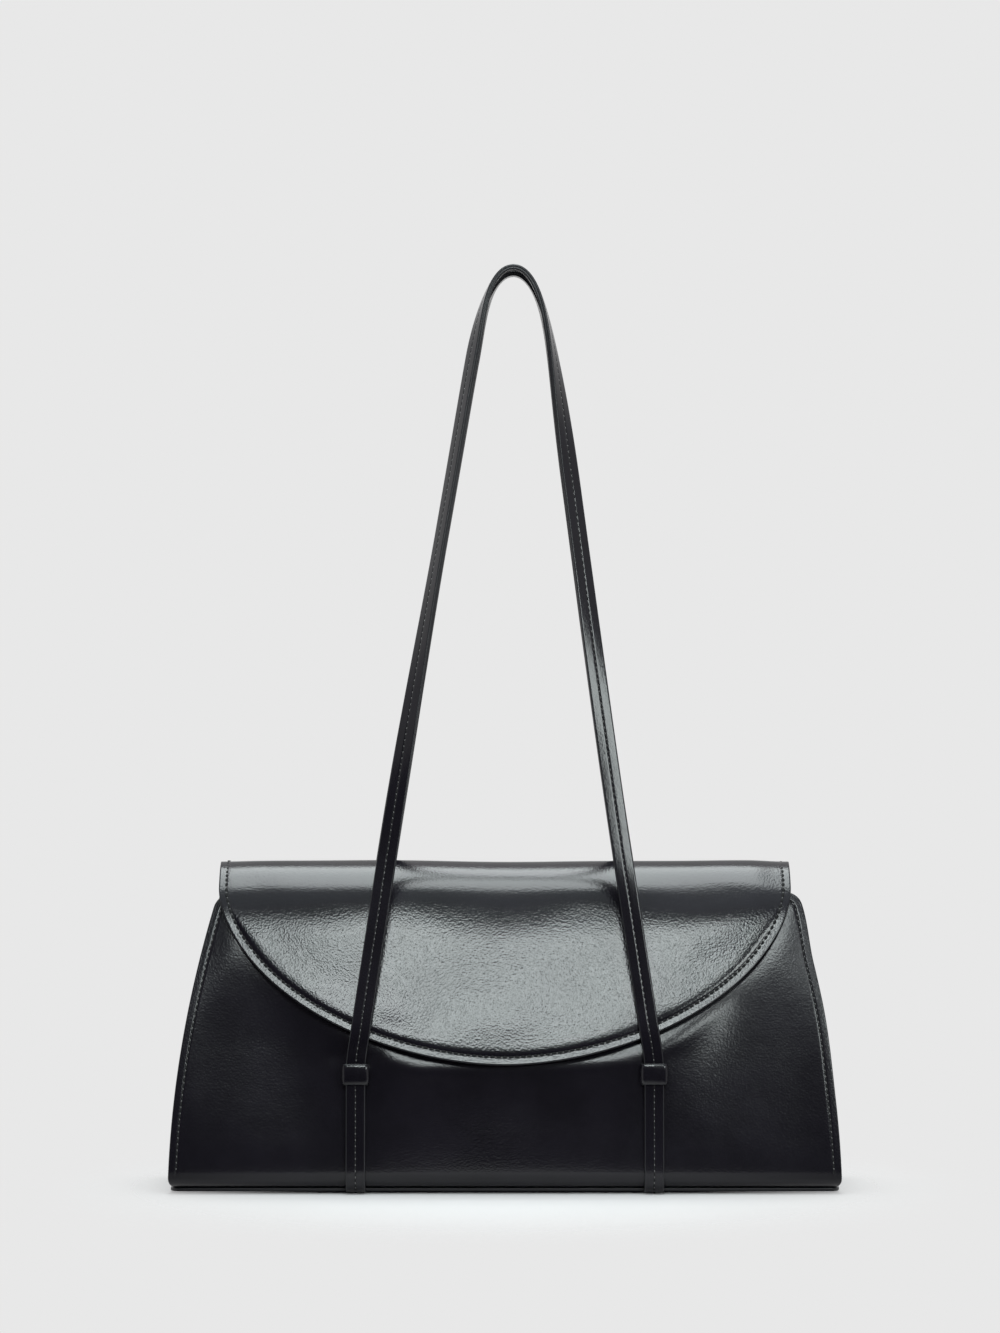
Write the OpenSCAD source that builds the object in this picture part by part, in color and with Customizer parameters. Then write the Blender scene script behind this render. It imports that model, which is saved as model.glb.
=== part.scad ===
// Shoulder bag with a crescent flap and two strap handles.
// X runs across the bag, Y from front to back with the front at -Y, and Z up.
// The origin is on the ground under the middle of the bag.

/* [Body] */
// Width of the bag at its base
base_w = 330; // [290:1:370]
// Depth of the bag at its base
base_d = 84; // [76:1:96]
// Depth of the bag at the top edge of the front panel
mouth_d = 28; // [26:1:36]
// Height of the front panel's top edge
mouth_h = 145; // [135:1:160]
// How much higher the back panel stands than the front panel
back_rise = 7; // [5:0.5:9]
// How far each side draws in between the base and the front panel's top
side_draw = 22.7; // [12:0.1:30]
// Thickness of the front and back panels
panel_t = 2.2; // [1.8:0.1:2.6]
// Outer radius of the turn at the foot of the front and back panels
roll_r = 8; // [7:0.5:10]
// Radius of the panels' top corners in the front view
top_corner_r = 8; // [5:0.5:11]
// Radius of the panels' bottom corners in the front view
foot_corner_r = 5; // [3:0.5:7]
// Thickness of the base panel
base_t = 1.8; // [1.4:0.1:2.2]
// How far the base panel's long edges lie inside the panels' faces
base_inset_d = 6.5; // [6.5:0.5:8]
// How far the base panel's short edges lie inside the panels' sides
base_inset_w = 3; // [2:0.5:5]

/* [Gussets] */
// Thickness of the gusset leather
gusset_t = 1.8; // [1.4:0.1:2.2]
// Width of the gusset's edge that is sewn behind each panel
flange_w = 8; // [6:0.5:10]
// How deep the gusset folds inwards at the base
fold_low = 4; // [3:0.5:6]
// How deep the gusset folds inwards at the mouth
fold_high = 16; // [12:0.5:20]

/* [Lining] */
// Thickness of the cloth lining
lining_t = 0.9; // [0.7:0.1:1.2]
// Thickness of the leather facing inside the mouth
facing_t = 1.3; // [1:0.1:1.6]
// Height of the facing
facing_h = 24; // [18:1:34]
// Thickness of the board in the base
board_t = 2; // [1.4:0.1:2.2]
// Thickness of the slip pocket
pocket_t = 1.2; // [1:0.1:1.6]
// Width of the slip pocket
pocket_w = 140; // [100:1:170]
// Height of the slip pocket
pocket_h = 74; // [50:1:80]
// How far the slip pocket's mouth lies below the back panel's top edge
pocket_drop = 42; // [34:1:50]

/* [Flap] */
// Width of the flap at its fold
flap_w = 279; // [250:1:281]
// Drop of the flap's crescent below its widest point
flap_drop = 87; // [76:0.5:88]
// Thickness of the flap's outer leather
flap_leather_t = 1.5; // [1.2:0.1:1.8]
// Thickness of the flap's foam filler
filler_t = 1.6; // [1.2:0.1:2]
// Thickness of the flap's lining
flap_lining_t = 1; // [0.8:0.1:1.2]
// Width of the turned rim round the filler
hem_w = 6; // [4:0.5:8]
// Inner radius of the flap's fold at the front
fold_r = 12; // [10:0.5:13]
// Inner radius of the flap's turn at the back
back_turn_r = 4; // [3:0.5:5]
// Length of the flap's end that is sewn to the back panel
tail_h = 18; // [14:1:26]
// Radius of the sewn end's corners
tail_corner_r = 6; // [3:0.5:8]

/* [Straps] */
// Width of the straps
strap_w = 9.6; // [8:0.1:11]
// Thickness of the straps, both layers
strap_t = 2.8; // [2.4:0.1:3.2]
// Thickness that the straps are pared down to under the base
under_t = 0.8; // [0.6:0.1:1]
// Height of the handles' top above the ground
handle_h = 457.5; // [400:0.5:500]
// How much lower the back handle's top lies than the front one's
nest_drop = 2.2; // [0:0.1:4]
// Half the width of a handle's loop just under its top
crown_half_w = 13.6; // [10:0.1:18]
// How far below its top a handle's loop reaches that width
crown_reach = 12.5; // [9:0.5:16]
// Distance between the middles of the two straps on the panels
strap_pitch = 146; // [120:1:150]
// How far to the right the handles' top lies
sway = 4.2; // [0:0.1:8]
// Gap between the two handles at their top
crown_gap = 1.6; // [1:0.1:4]
// Height on the strap where the handles begin to swing, above the keepers
swing_rise = 1.5; // [1.2:0.1:2]
// Length of strap left free between a lower strap's end and its handle, where it bends
bend_gap = 1.4; // [1.2:0.1:2]

/* [Keepers] */
// How far the keepers' top lies below the front panel's top edge
keeper_drop = 82.5; // [82:0.5:93]
// Height of a keeper
keeper_h = 10; // [8:0.5:14]
// Thickness of the keeper leather
keeper_t = 1.7; // [1.2:0.1:2]
// Outer corner radius of a keeper
keeper_r = 1.6; // [1:0.1:1.6]

/* [Magnets] */
// Diameter of the magnets
magnet_d = 16; // [12:0.5:18]
// Thickness of the magnets
magnet_t = 1.3; // [1:0.1:1.4]
// How far the magnets' middle lies below the front panel's top edge
magnet_drop = 57; // [49:0.5:61]

/* [Hidden] */

$fn = 48;

// Glue line between two layers that are sewn flat together
lay_gap = 0.1;
// Clearance between pieces that move against each other
run_gap = 0.3;
// Overrun of a cut past the surface that it opens
overrun = 3;
// Gap between the flap's lining and the front panel
flap_gap = 0.8;

// Steps of the sampled curves
roll_steps = 6;
wall_steps = 14;
arc_steps = 6;
crescent_steps = 56;
web_steps = 12;
crown_steps = 26;
leg_steps = 8;

// The wall leans in by a power of its height, and the sides draw in mostly by the square
lean_power = 1.8;
side_bow_share = 0.87;
crescent_power = 1.85;
web_power = 1.2;
station_power = 2.5;
settle_power = 1.5;

// Twist of the straps, in degrees, from facing front at the bag to edge on at the top
crown_twist = 90;
left_early_twist = 30;

ink = [0.11, 0.105, 0.125];
ink_edge = [0.07, 0.07, 0.08];
cloth = [0.2, 0.17, 0.16];
steel = [0.7, 0.7, 0.72];
foam = [0.45, 0.45, 0.47];

wall_lean = (base_d - mouth_d) / 2;
back_h = mouth_h + back_rise;
pocket_foot = back_h - pocket_drop - pocket_h;
keeper_top = mouth_h - keeper_drop;
magnet_z = mouth_h - magnet_drop;
base_z = under_t + lay_gap;
base_top = base_z + base_t;
panel_foot = base_top + 2 * lay_gap;
roll_z = panel_foot + roll_r;
corner_foot = panel_foot - foot_corner_r / 5;

function reversed(list) = [for (i = [len(list) - 1:-1:0]) list[i]];
function flipped(list) = [for (p = reversed(list)) [-p[0], p[1]]];
// Outline of a layer that runs down the front, over the foot and up the back
function trough(outer, outer_back, inner, inner_back) = concat(
    reversed(outer), reversed(flipped(outer_back)), flipped(inner_back), inner);
function smooth(t) = let (c = min(1, max(0, t))) c * c * (3 - 2 * c);

// Outer face of the front wall: its place in Y at a height, and its lean in degrees
function front_y(z) = -base_d / 2 + wall_lean * pow(z / mouth_h, lean_power);
function lean(z) = atan(wall_lean * lean_power / mouth_h * pow(z / mouth_h, lean_power - 1));
function outward(a) = [-cos(a), sin(a)];
function wall_pt(z, off) = [front_y(z), z] + off * outward(lean(z));

roll_lean = lean(roll_z);
roll_start_z = roll_z + roll_r * sin(roll_lean);
roll_y = front_y(roll_start_z) + roll_r * cos(roll_lean);

// The foot's turn, from straight down to where it meets the wall
function roll_run(off) = [for (i = [0:roll_steps])
    let (a = -90 + (90 + roll_lean) * i / roll_steps)
    [roll_y, roll_z] + (roll_r + off) * outward(a)];
function wall_run(off, lo, hi, steps = wall_steps) =
    [for (i = [0:steps]) wall_pt(lo + (hi - lo) * i / steps, off)];
function full_run(off, top) = concat(roll_run(off),
    [for (i = [1:wall_steps]) wall_pt(roll_start_z + (top - roll_start_z) * i / wall_steps, off)]);

// Inner face of a layer at a height, the foot's turn included
function inner_y(z, off) = z >= roll_start_z
    ? front_y(z) - off / cos(lean(z))
    : roll_y - sqrt(max(0, pow(roll_r + off, 2) - pow(roll_z - z, 2)));

// Half the width of the panels at a height
function half_w(z) = let (t = z / mouth_h)
    base_w / 2 - side_draw * ((1 - side_bow_share) * t + side_bow_share * t * t);
function side_angle(z) = let (t = z / mouth_h)
    atan(side_draw / mouth_h * (1 - side_bow_share + 2 * side_bow_share * t));

// Half width with the rounded corners taken off
function edge_x(z, foot, top) = let (
    a = side_angle(top),
    low_z = foot + foot_corner_r,
    high_z = top - top_corner_r,
    turn_z = high_z + top_corner_r * sin(a))
    z < low_z ? half_w(low_z) - foot_corner_r + sqrt(max(0, pow(foot_corner_r, 2) - pow(low_z - z, 2)))
    : z > turn_z ? half_w(turn_z) - top_corner_r * cos(a)
        + sqrt(max(0, pow(top_corner_r, 2) - pow(z - high_z, 2)))
    : half_w(z);

// Front view of a panel, with round corners at its top and its foot
function panel_side(inset, foot, top) = let (
    a = side_angle(top),
    low_z = foot + foot_corner_r,
    high_z = top - top_corner_r,
    turn_z = high_z + top_corner_r * sin(a))
    concat(
        [for (i = [0:arc_steps]) let (b = -90 + 90 * i / arc_steps)
            [half_w(low_z) - inset - foot_corner_r + foot_corner_r * cos(b), low_z + foot_corner_r * sin(b)]],
        [for (i = [1:wall_steps - 1]) let (z = low_z + (turn_z - low_z) * i / wall_steps)
            [half_w(z) - inset, z]],
        [for (i = [0:arc_steps]) let (b = a + (90 - a) * i / arc_steps)
            [half_w(turn_z) - inset + top_corner_r * (cos(b) - cos(a)), high_z + top_corner_r * sin(b)]]);
function panel_outline(inset, foot, top) = let (side = panel_side(inset, foot, top))
    concat(side, flipped(side));

// Sweeps a side profile, drawn in Y and Z, across the bag
module across(width) {
    rotate([90, 0, 90])
        translate([0, 0, -width / 2])
            linear_extrude(width) children();
}

// Sweeps a front view, drawn in X and Z, through the bag
module through(depth = base_d + 2 * overrun) {
    rotate([90, 0, 0])
        translate([0, 0, -depth / 2])
            linear_extrude(depth) children();
}

// Layer of the front wall between two offsets, foot's turn included
module wall_layer(in_off, out_off, top) {
    across(base_w + 2 * overrun)
        polygon(concat(full_run(out_off, top + overrun), reversed(full_run(in_off, top + overrun))));
}

// Layer of the front wall between two heights
module wall_strip(in_off, out_off, lo, hi) {
    across(base_w)
        polygon(concat(wall_run(out_off, lo, hi), reversed(wall_run(in_off, lo, hi))));
}

// Stands a child on the front wall at a height, its own +Z pointing out of the wall
module on_wall(z, off) {
    translate([0, wall_pt(z, off)[0], wall_pt(z, off)[1]])
        rotate([90 - lean(z), 0, 0]) children();
}

// Skin through a list of closed rings of points, with flat ends. A layer that lies inside
// another one's bend splits its faces the other way, so that the two stay parallel.
module loft(rings, inside = false) {
    n = len(rings[0]);
    last = (len(rings) - 1) * n;
    polyhedron(
        points = [for (ring = rings) each ring],
        faces = concat(
            [[for (j = [0:n - 1]) j]],
            [for (i = [0:len(rings) - 2]) for (j = [0:n - 1])
                let (k = (j + 1) % n, a = i * n + j, b = i * n + k, c = a + n, d = b + n)
                each inside ? [[a, c, b], [c, d, b]] : [[a, c, d], [a, d, b]]],
            [[for (j = [n - 1:-1:0]) last + j]]));
}

// Front and back panels

module panel(top) {
    intersection() {
        wall_layer(-panel_t, 0, top);
        through() polygon(panel_outline(0, corner_foot, top));
    }
}

module magnet_disc(extra_r, extra_t) {
    cylinder(d = magnet_d + 2 * extra_r, h = magnet_t + extra_t);
}

module front_panel() {
    color(ink) difference() {
        panel(mouth_h);
        on_wall(magnet_z, -panel_t - overrun) magnet_disc(lay_gap, overrun + lay_gap);
    }
}

module back_panel() {
    color(ink) mirror([0, 1, 0]) panel(back_h);
}

module panel_magnet() {
    color(steel) on_wall(magnet_z, -panel_t) magnet_disc(0, 0);
}

// Base

module plate(half_x, half_y, z, t) {
    r = foot_corner_r;
    translate([0, 0, z]) linear_extrude(t) union() {
        square([2 * half_x, 2 * (half_y - r)], center = true);
        square([2 * (half_x - r), 2 * half_y], center = true);
        for (sx = [-1, 1]) for (sy = [-1, 1])
            translate([sx * (half_x - r), sy * (half_y - r)]) circle(r);
    }
}

module base_panel() {
    color(ink_edge) plate(base_w / 2 - base_inset_w, base_d / 2 - base_inset_d, base_z, base_t);
}

board_half_w = half_w(0) - flange_w - fold_low - 2 * gusset_t;

module base_board() {
    color(foam) plate(board_half_w, -roll_y - lay_gap - panel_t / 2, base_top + lay_gap, board_t);
}

// Gussets: an edge behind each panel and a web between them that folds inwards

gusset_top = mouth_h - gusset_t;
function fold_depth(z) = fold_low + (fold_high - fold_low) * z / mouth_h;
function web_x(z, y, y_edge) = half_w(z) - flange_w
    - fold_depth(z) * pow(max(0, cos(90 * y / y_edge)), web_power);

function gusset_edge(z) = inner_y(z, -panel_t - lay_gap) + 2 * lay_gap;

function gusset_ring(z) = let (
    y_edge = gusset_edge(z),
    x_edge = edge_x(z, corner_foot, mouth_h),
    y_in = y_edge + gusset_t)
    concat(
        [[x_edge, y_edge, z], [x_edge - lay_gap, y_in, z]],
        [for (i = [0:web_steps]) let (y = y_in - 2 * y_in * i / web_steps) [web_x(z, y, y_in), y, z]],
        [[x_edge - lay_gap, -y_in, z], [x_edge, -y_edge, z]],
        [for (i = [0:web_steps]) let (y = -y_edge + 2 * y_edge * i / web_steps)
            [web_x(z, y, y_edge) - gusset_t, y, z]]);

gusset_foot = base_top + lay_gap;
sole_z = panel_foot + panel_t + lay_gap;
low_levels = [for (i = [-1:3]) i < 0 ? gusset_foot : sole_z + (roll_start_z - sole_z) * i / 3];
high_levels = [for (i = [1:8]) roll_start_z + (gusset_top - top_corner_r - roll_start_z) * i / 8];
top_levels = [for (i = [1:3]) gusset_top - top_corner_r + top_corner_r * i / 3];

web_levels = concat(low_levels, high_levels, top_levels);

module gusset() {
    loft([for (z = web_levels) gusset_ring(z)]);
}

module right_gusset() { color(ink) gusset(); }
module left_gusset() { color(ink) mirror([1, 0, 0]) gusset(); }

// Lining and facing

wall_inset = flange_w + 2 * gusset_t + 3 * lay_gap;
facing_out = -panel_t - lay_gap;
lining_in = facing_out - lining_t;

// Front view of the inside, drawn in at the foot where the gussets fold in
module inside_view(top) {
    foot = base_top + lay_gap;
    knee = roll_z + roll_r / 2;
    side = concat([[board_half_w, foot], [board_half_w, panel_foot + roll_r / 2], [half_w(knee) - wall_inset, knee]],
        [for (i = [1:wall_steps]) let (z = knee + (top - knee) * i / wall_steps)
            [half_w(z) - wall_inset - top_corner_r * smooth((z - top + top_corner_r) / top_corner_r) / 2, z]]);
    through() polygon(concat(side, flipped(side)));
}

module facing(top) {
    intersection() {
        wall_strip(facing_out - facing_t, facing_out, top - facing_h, top + overrun);
        inside_view(top - lay_gap);
    }
}

module front_facing() { color(ink) facing(mouth_h); }
module back_facing() { color(ink) mirror([0, 1, 0]) facing(back_h); }

module body_lining() {
    front_top = mouth_h - facing_h - lay_gap;
    back_top = back_h - facing_h - lay_gap;
    color(cloth) intersection() {
        across(base_w) polygon(trough(
            full_run(facing_out, front_top), full_run(facing_out, back_top),
            full_run(lining_in, front_top), full_run(lining_in, back_top)));
        inside_view(back_h);
    }
}

// Side lining: a thin web inside the gusset's
function side_lining_line(z, off) = let (y_edge = gusset_edge(z))
    [for (i = [1:web_steps - 1]) let (y = y_edge - 2 * y_edge * i / web_steps)
        [web_x(z, y, y_edge) - off, y, z]];

module side_lining() {
    foot = panel_foot + panel_t + lining_t;
    out = gusset_t + 2 * lay_gap;
    loft([for (z = web_levels) if (z > foot && z < gusset_top)
        concat(reversed(side_lining_line(z, out + lining_t)), side_lining_line(z, out))], true);
}

module right_lining() { color(cloth) side_lining(); }
module left_lining() { color(cloth) mirror([1, 0, 0]) side_lining(); }

module slip_pocket() {
    r = foot_corner_r;
    color(cloth) mirror([0, 1, 0]) intersection() {
        wall_strip(lining_in - lay_gap - pocket_t, lining_in - lay_gap, pocket_foot, pocket_foot + pocket_h);
        through() union() {
            translate([-pocket_w / 2, pocket_foot + r]) square([pocket_w, pocket_h]);
            translate([-pocket_w / 2 + r, pocket_foot - r]) square([pocket_w - 2 * r, pocket_h]);
            for (side = [-1, 1]) translate([side * (pocket_w / 2 - r), pocket_foot + r]) circle(r);
        }
    }
}

// Flap. Its path is a list of [place, outward angle, how full its layers are], from the
// lowest point of the front up over the fold and down to the sewn end behind.

flap_side_z = mouth_h + 5 * lay_gap + fold_r * 3 / 8;
flap_low_z = flap_side_z - flap_drop;
flap_fold_z = mouth_h + fold_r * 5 / 12;
fold_lean = lean(flap_fold_z);
fold_centre = wall_pt(flap_fold_z, flap_gap) - fold_r * outward(fold_lean);
flap_top_z = fold_centre[1] + fold_r;
turn_lean = lean(back_h);
turn_z = flap_top_z - back_turn_r;
turn_foot_z = turn_z + back_turn_r * sin(turn_lean);
turn_y = -front_y(turn_foot_z) + lay_gap / cos(turn_lean) - back_turn_r * cos(turn_lean);
hinge_z = back_h;

function flap_path() = concat(
    [for (i = [0:wall_steps]) let (z = flap_low_z - overrun + (flap_fold_z - flap_low_z + overrun) * i / wall_steps)
        [wall_pt(z, flap_gap), lean(z), 1]],
    [for (i = [1:arc_steps]) let (a = fold_lean + (90 - fold_lean) * i / arc_steps)
        [fold_centre + fold_r * outward(a), a, 1]],
    [for (i = [1:arc_steps]) let (t = i / arc_steps)
        [[fold_centre[0] + (turn_y - fold_centre[0]) * t, flap_top_z], 90, 1 - smooth(t)]],
    [for (i = [1:arc_steps]) let (a = 90 + (90 - turn_lean) * i / arc_steps)
        [[turn_y, turn_z] + back_turn_r * outward(a), a, 0]],
    [[[-wall_pt(hinge_z, lay_gap)[0], wall_pt(hinge_z, lay_gap)[1]], 180 - turn_lean, 0]]);

function flap_line(path, full_t, add) = [for (p = path) p[0] + (full_t * p[2] + add) * outward(p[1])];

// Layer of the flap between two depths: full thicknesses that vanish behind, plus fixed ones
module flap_layer(path, full_in, add_in, full_out, add_out) {
    across(flap_w + overrun)
        polygon(concat(flap_line(path, full_in, add_in), reversed(flap_line(path, full_out, add_out))));
}

// Crescent, straight above its widest point
module crescent(inset) {
    a = flap_w / 2 - inset;
    b = flap_drop - inset;
    top = flap_top_z + fold_r;
    through() polygon(concat(
        [for (i = [0:crescent_steps]) let (t = 180 * i / crescent_steps, c = cos(t))
            [a * sign(c) * pow(abs(c), 2 / crescent_power),
             flap_side_z - b * pow(sin(t), 2 / crescent_power)]],
        [[-a, top], [a, top]]));
}

under_leather = flap_lining_t + filler_t;
full_path = flap_path();
front_path = [for (p = full_path) if (p[2] > 1 / 8) p];

module flap_leather() {
    color(ink) union() {
        intersection() {
            flap_layer(full_path, under_leather, 0, under_leather, flap_leather_t);
            crescent(0);
        }
        intersection() {
            flap_layer(front_path, flap_lining_t, lay_gap, under_leather, lay_gap);
            difference() {
                crescent(0);
                crescent(hem_w);
            }
        }
    }
}

module flap_filler() {
    color(foam) difference() {
        intersection() {
            flap_layer(front_path, flap_lining_t, lay_gap, under_leather, -lay_gap);
            crescent(hem_w + lay_gap);
        }
        on_wall(magnet_z, flap_gap + flap_lining_t) magnet_disc(lay_gap, overrun);
    }
}

module flap_lining() {
    color(cloth) intersection() {
        flap_layer(front_path, 0, 0, flap_lining_t, 0);
        crescent(2 * lay_gap);
    }
}

module flap_magnet() {
    color(steel) on_wall(magnet_z, flap_gap + flap_lining_t + lay_gap) magnet_disc(0, 0);
}

module flap_sewn_end() {
    r = tail_corner_r;
    foot = hinge_z - tail_h;
    color(ink) mirror([0, 1, 0]) intersection() {
        wall_strip(lay_gap, lay_gap + flap_leather_t, foot - overrun, hinge_z - run_gap);
        through() union() {
            translate([-flap_w / 2, foot + r]) square([flap_w, tail_h]);
            translate([-flap_w / 2 + r, foot]) square([flap_w - 2 * r, tail_h]);
            for (side = [-1, 1]) translate([side * (flap_w / 2 - r), foot + r]) circle(r);
        }
    }
}

// Base straps: down from a keeper, round the foot, under the base and up behind

strap_in = run_gap;
strap_out = strap_in + strap_t;
swing_z = keeper_top + swing_rise;
bend_r = roll_r + strap_out;
bend_y = roll_y - (bend_r - roll_z);

function strap_outer_run() = concat(
    [for (i = [0:roll_steps]) let (a = -90 + 90 * i / roll_steps) [bend_y, roll_z] + roll_z * outward(a)],
    wall_run(strap_out, roll_start_z + roll_r / 2, swing_z, leg_steps));
function strap_inner_run() = concat(
    [[-base_d / 2 + base_inset_d - lay_gap, under_t]],
    [for (i = [2:roll_steps]) let (a = -90 + (90 + roll_lean) * i / roll_steps)
        [roll_y, roll_z] + (roll_r + strap_in) * outward(a)],
    wall_run(strap_in, roll_start_z + roll_r / 2, swing_z, leg_steps));

module base_strap(x) {
    translate([x, 0, 0]) across(strap_w)
        polygon(trough(strap_outer_run(), strap_outer_run(), strap_inner_run(), strap_inner_run()));
}

module left_base_strap() { color(ink) base_strap(-strap_pitch / 2); }
module right_base_strap() { color(ink) base_strap(strap_pitch / 2); }

// Keepers: a leather loop over each strap, standing on the panel

module keeper(x) {
    half = strap_w / 2 + run_gap;
    reach = strap_out + run_gap;
    translate([x, 0, 0]) on_wall(keeper_top - keeper_h / 2, 0) difference() {
        translate([-half - keeper_t, -keeper_h / 2, 0]) union() {
            cube([2 * (half + keeper_t), keeper_h, reach + keeper_t - keeper_r]);
            translate([keeper_r, 0, 0]) cube([2 * (half + keeper_t - keeper_r), keeper_h, reach + keeper_t]);
            for (px = [keeper_r, 2 * (half + keeper_t) - keeper_r])
                translate([px, 0, reach + keeper_t - keeper_r]) rotate([-90, 0, 0]) cylinder(r = keeper_r, h = keeper_h);
        }
        translate([-half, -keeper_h, -overrun]) cube([2 * half, 2 * keeper_h, overrun + reach]);
    }
}

module front_left_keeper() { color(ink) keeper(-strap_pitch / 2); }
module front_right_keeper() { color(ink) keeper(strap_pitch / 2); }
module back_left_keeper() { color(ink) mirror([0, 1, 0]) keeper(-strap_pitch / 2); }
module back_right_keeper() { color(ink) mirror([0, 1, 0]) keeper(strap_pitch / 2); }

// Handles. A point on a handle is named by its side, -1 or 1, and its depth below the top.

top_z = handle_h - strap_t / 2;
leg_foot = wall_pt(swing_z, strap_in + strap_t / 2);
rise = top_z - leg_foot[1];
leg_slope = (strap_pitch / 2 - crown_half_w) / rise;
crown_y = -(strap_w + crown_gap) / 2;
flap_edge_z = keeper_top + keeper_h * 5 / 4;
flap_outer = flap_gap + under_leather + flap_leather_t;
over_edge_y = wall_pt(flap_edge_z, flap_outer + strap_t / 2 + 2 * run_gap)[0] - run_gap;

function loop_half_w(h) = (crown_half_w + leg_slope * h) * sqrt(1 - exp(-h / crown_reach));
function loop_shift(h) = sway * smooth(1 - h / (top_z - flap_top_z));
function twist(side, h) = side > 0
    ? crown_twist * (1 - smooth(h / (rise * 2 / 7)))
    : crown_twist - left_early_twist * smooth(h / (rise / 9))
        - (crown_twist - left_early_twist) * smooth((h - rise / 3) / (rise / 2));

// The front handle steps out over the flap's edge, and the back one leaves its keeper straight
function front_handle_y(z) = z < flap_edge_z
    ? leg_foot[0] + (over_edge_y - leg_foot[0]) * smooth((z - leg_foot[1]) / (flap_edge_z - leg_foot[1]))
    : over_edge_y + (crown_y - over_edge_y)
        * (1 - pow(max(0, 1 - (z - flap_edge_z) / (top_z - flap_edge_z)), settle_power));
function back_handle_y(z) = leg_foot[0] + (crown_y - leg_foot[0]) * (z - leg_foot[1]) / rise;

function handle_pt(side, h, front) = let (z = top_z - h)
    [side * loop_half_w(h) + loop_shift(h), front ? front_handle_y(z) : back_handle_y(z), z];

function unit(v) = v / norm(v);
function handle_frame(side, h, front) = let (
    step = h > crown_reach / 10 ? h / 20 : crown_reach / 200,
    ahead = handle_pt(side, max(0, h - step), front),
    behind = handle_pt(side, h + step, front),
    t = h == 0 ? [1, 0, 0] : side < 0 ? unit(ahead - behind) : unit(behind - ahead),
    forward = unit([0, -1, 0] + t[1] * t),
    around = cross(forward, t),
    a = twist(side, h),
    n = cos(a) * forward + sin(a) * around)
    [handle_pt(side, h, front), cross(n, t), n];

// Section of one layer, its outer edges taken off where chamfer is not zero
function layer_ring(place, low, high, chamfer) = [for (p = [
    [-strap_w / 2 + (low < 0 ? chamfer : 0), low], [strap_w / 2 - (low < 0 ? chamfer : 0), low],
    [strap_w / 2, low < 0 ? low + chamfer : low], [strap_w / 2, high > 0 ? high - chamfer : high],
    [strap_w / 2 - (high > 0 ? chamfer : 0), high], [-strap_w / 2 + (high > 0 ? chamfer : 0), high],
    [-strap_w / 2, high > 0 ? high - chamfer : high], [-strap_w / 2, low < 0 ? low + chamfer : low]])
    place[0] + p[0] * place[1] + p[1] * place[2]];

edge_chamfer = strap_t / 7;

function loop_places(depth, front) = concat(
    [for (i = [0:crown_steps]) handle_frame(-1, depth * pow(1 - i / crown_steps, station_power), front)],
    [for (i = [1:crown_steps]) handle_frame(1, depth * pow(i / crown_steps, station_power), front)]);

module handle_loop(depth, front, low, high) {
    loft([for (place = loop_places(depth, front)) layer_ring(place, low, high, edge_chamfer)], low < 0);
}

front_loop_depth = top_z - flap_top_z - under_leather;
back_loop_depth = rise - bend_gap;

module front_handle_face() { color(ink) handle_loop(front_loop_depth, true, 0, strap_t / 2); }
module front_handle_lining() { color(ink_edge) handle_loop(front_loop_depth, true, -strap_t / 2, -lay_gap); }

module back_handle_half(low, high) {
    translate([0, 0, -nest_drop]) mirror([0, 1, 0]) handle_loop(back_loop_depth - nest_drop, false, low, high);
}

module back_handle_face() { color(ink) back_handle_half(0, strap_t / 2); }
module back_handle_lining() { color(ink_edge) back_handle_half(-strap_t / 2, -lay_gap); }

module leg(side) {
    low = rise - bend_gap;
    high = front_loop_depth + lay_gap;
    places = [for (i = [0:leg_steps]) handle_frame(side, low + (high - low) * pow(i / leg_steps, settle_power), true)];
    loft([for (place = side < 0 ? places : reversed(places))
        layer_ring(place, -strap_t / 2, strap_t / 2, edge_chamfer)]);
}

module front_left_leg() { color(ink) leg(-1); }
module front_right_leg() { color(ink) leg(1); }

front_panel();
back_panel();
base_panel();
left_gusset();
right_gusset();
front_facing();
back_facing();
body_lining();
left_lining();
right_lining();
slip_pocket();
base_board();
panel_magnet();
flap_sewn_end();
left_base_strap();
right_base_strap();
front_left_keeper();
front_right_keeper();
back_left_keeper();
back_right_keeper();
flap_leather();
flap_filler();
flap_lining();
flap_magnet();
front_handle_face();
front_handle_lining();
front_left_leg();
front_right_leg();
back_handle_face();
back_handle_lining();
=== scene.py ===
import math
import bmesh
import bpy
import numpy as np
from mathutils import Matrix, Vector, noise


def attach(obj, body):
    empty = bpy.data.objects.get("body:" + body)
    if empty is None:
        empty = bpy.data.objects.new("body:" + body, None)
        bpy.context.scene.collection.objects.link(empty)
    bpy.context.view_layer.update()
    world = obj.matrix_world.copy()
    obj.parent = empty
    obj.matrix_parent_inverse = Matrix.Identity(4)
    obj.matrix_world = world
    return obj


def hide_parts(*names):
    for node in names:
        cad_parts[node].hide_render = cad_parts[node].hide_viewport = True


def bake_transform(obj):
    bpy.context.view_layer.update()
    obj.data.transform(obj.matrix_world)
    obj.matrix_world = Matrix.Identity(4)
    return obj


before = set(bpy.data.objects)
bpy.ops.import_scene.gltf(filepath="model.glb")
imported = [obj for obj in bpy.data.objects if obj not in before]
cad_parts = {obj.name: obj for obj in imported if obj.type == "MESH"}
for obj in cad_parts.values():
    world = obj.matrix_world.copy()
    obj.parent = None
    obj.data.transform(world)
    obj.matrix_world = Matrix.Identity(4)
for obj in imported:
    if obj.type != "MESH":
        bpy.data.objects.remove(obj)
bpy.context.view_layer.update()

# Studio: a pale floor that fades into a grey backdrop, one soft box in front and above, one overhead
# and a strip on the right. The room in front of the bag is dark, which gives the leather its contrast.

scene = bpy.context.scene
scene.view_settings.view_transform = "Standard"

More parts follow.
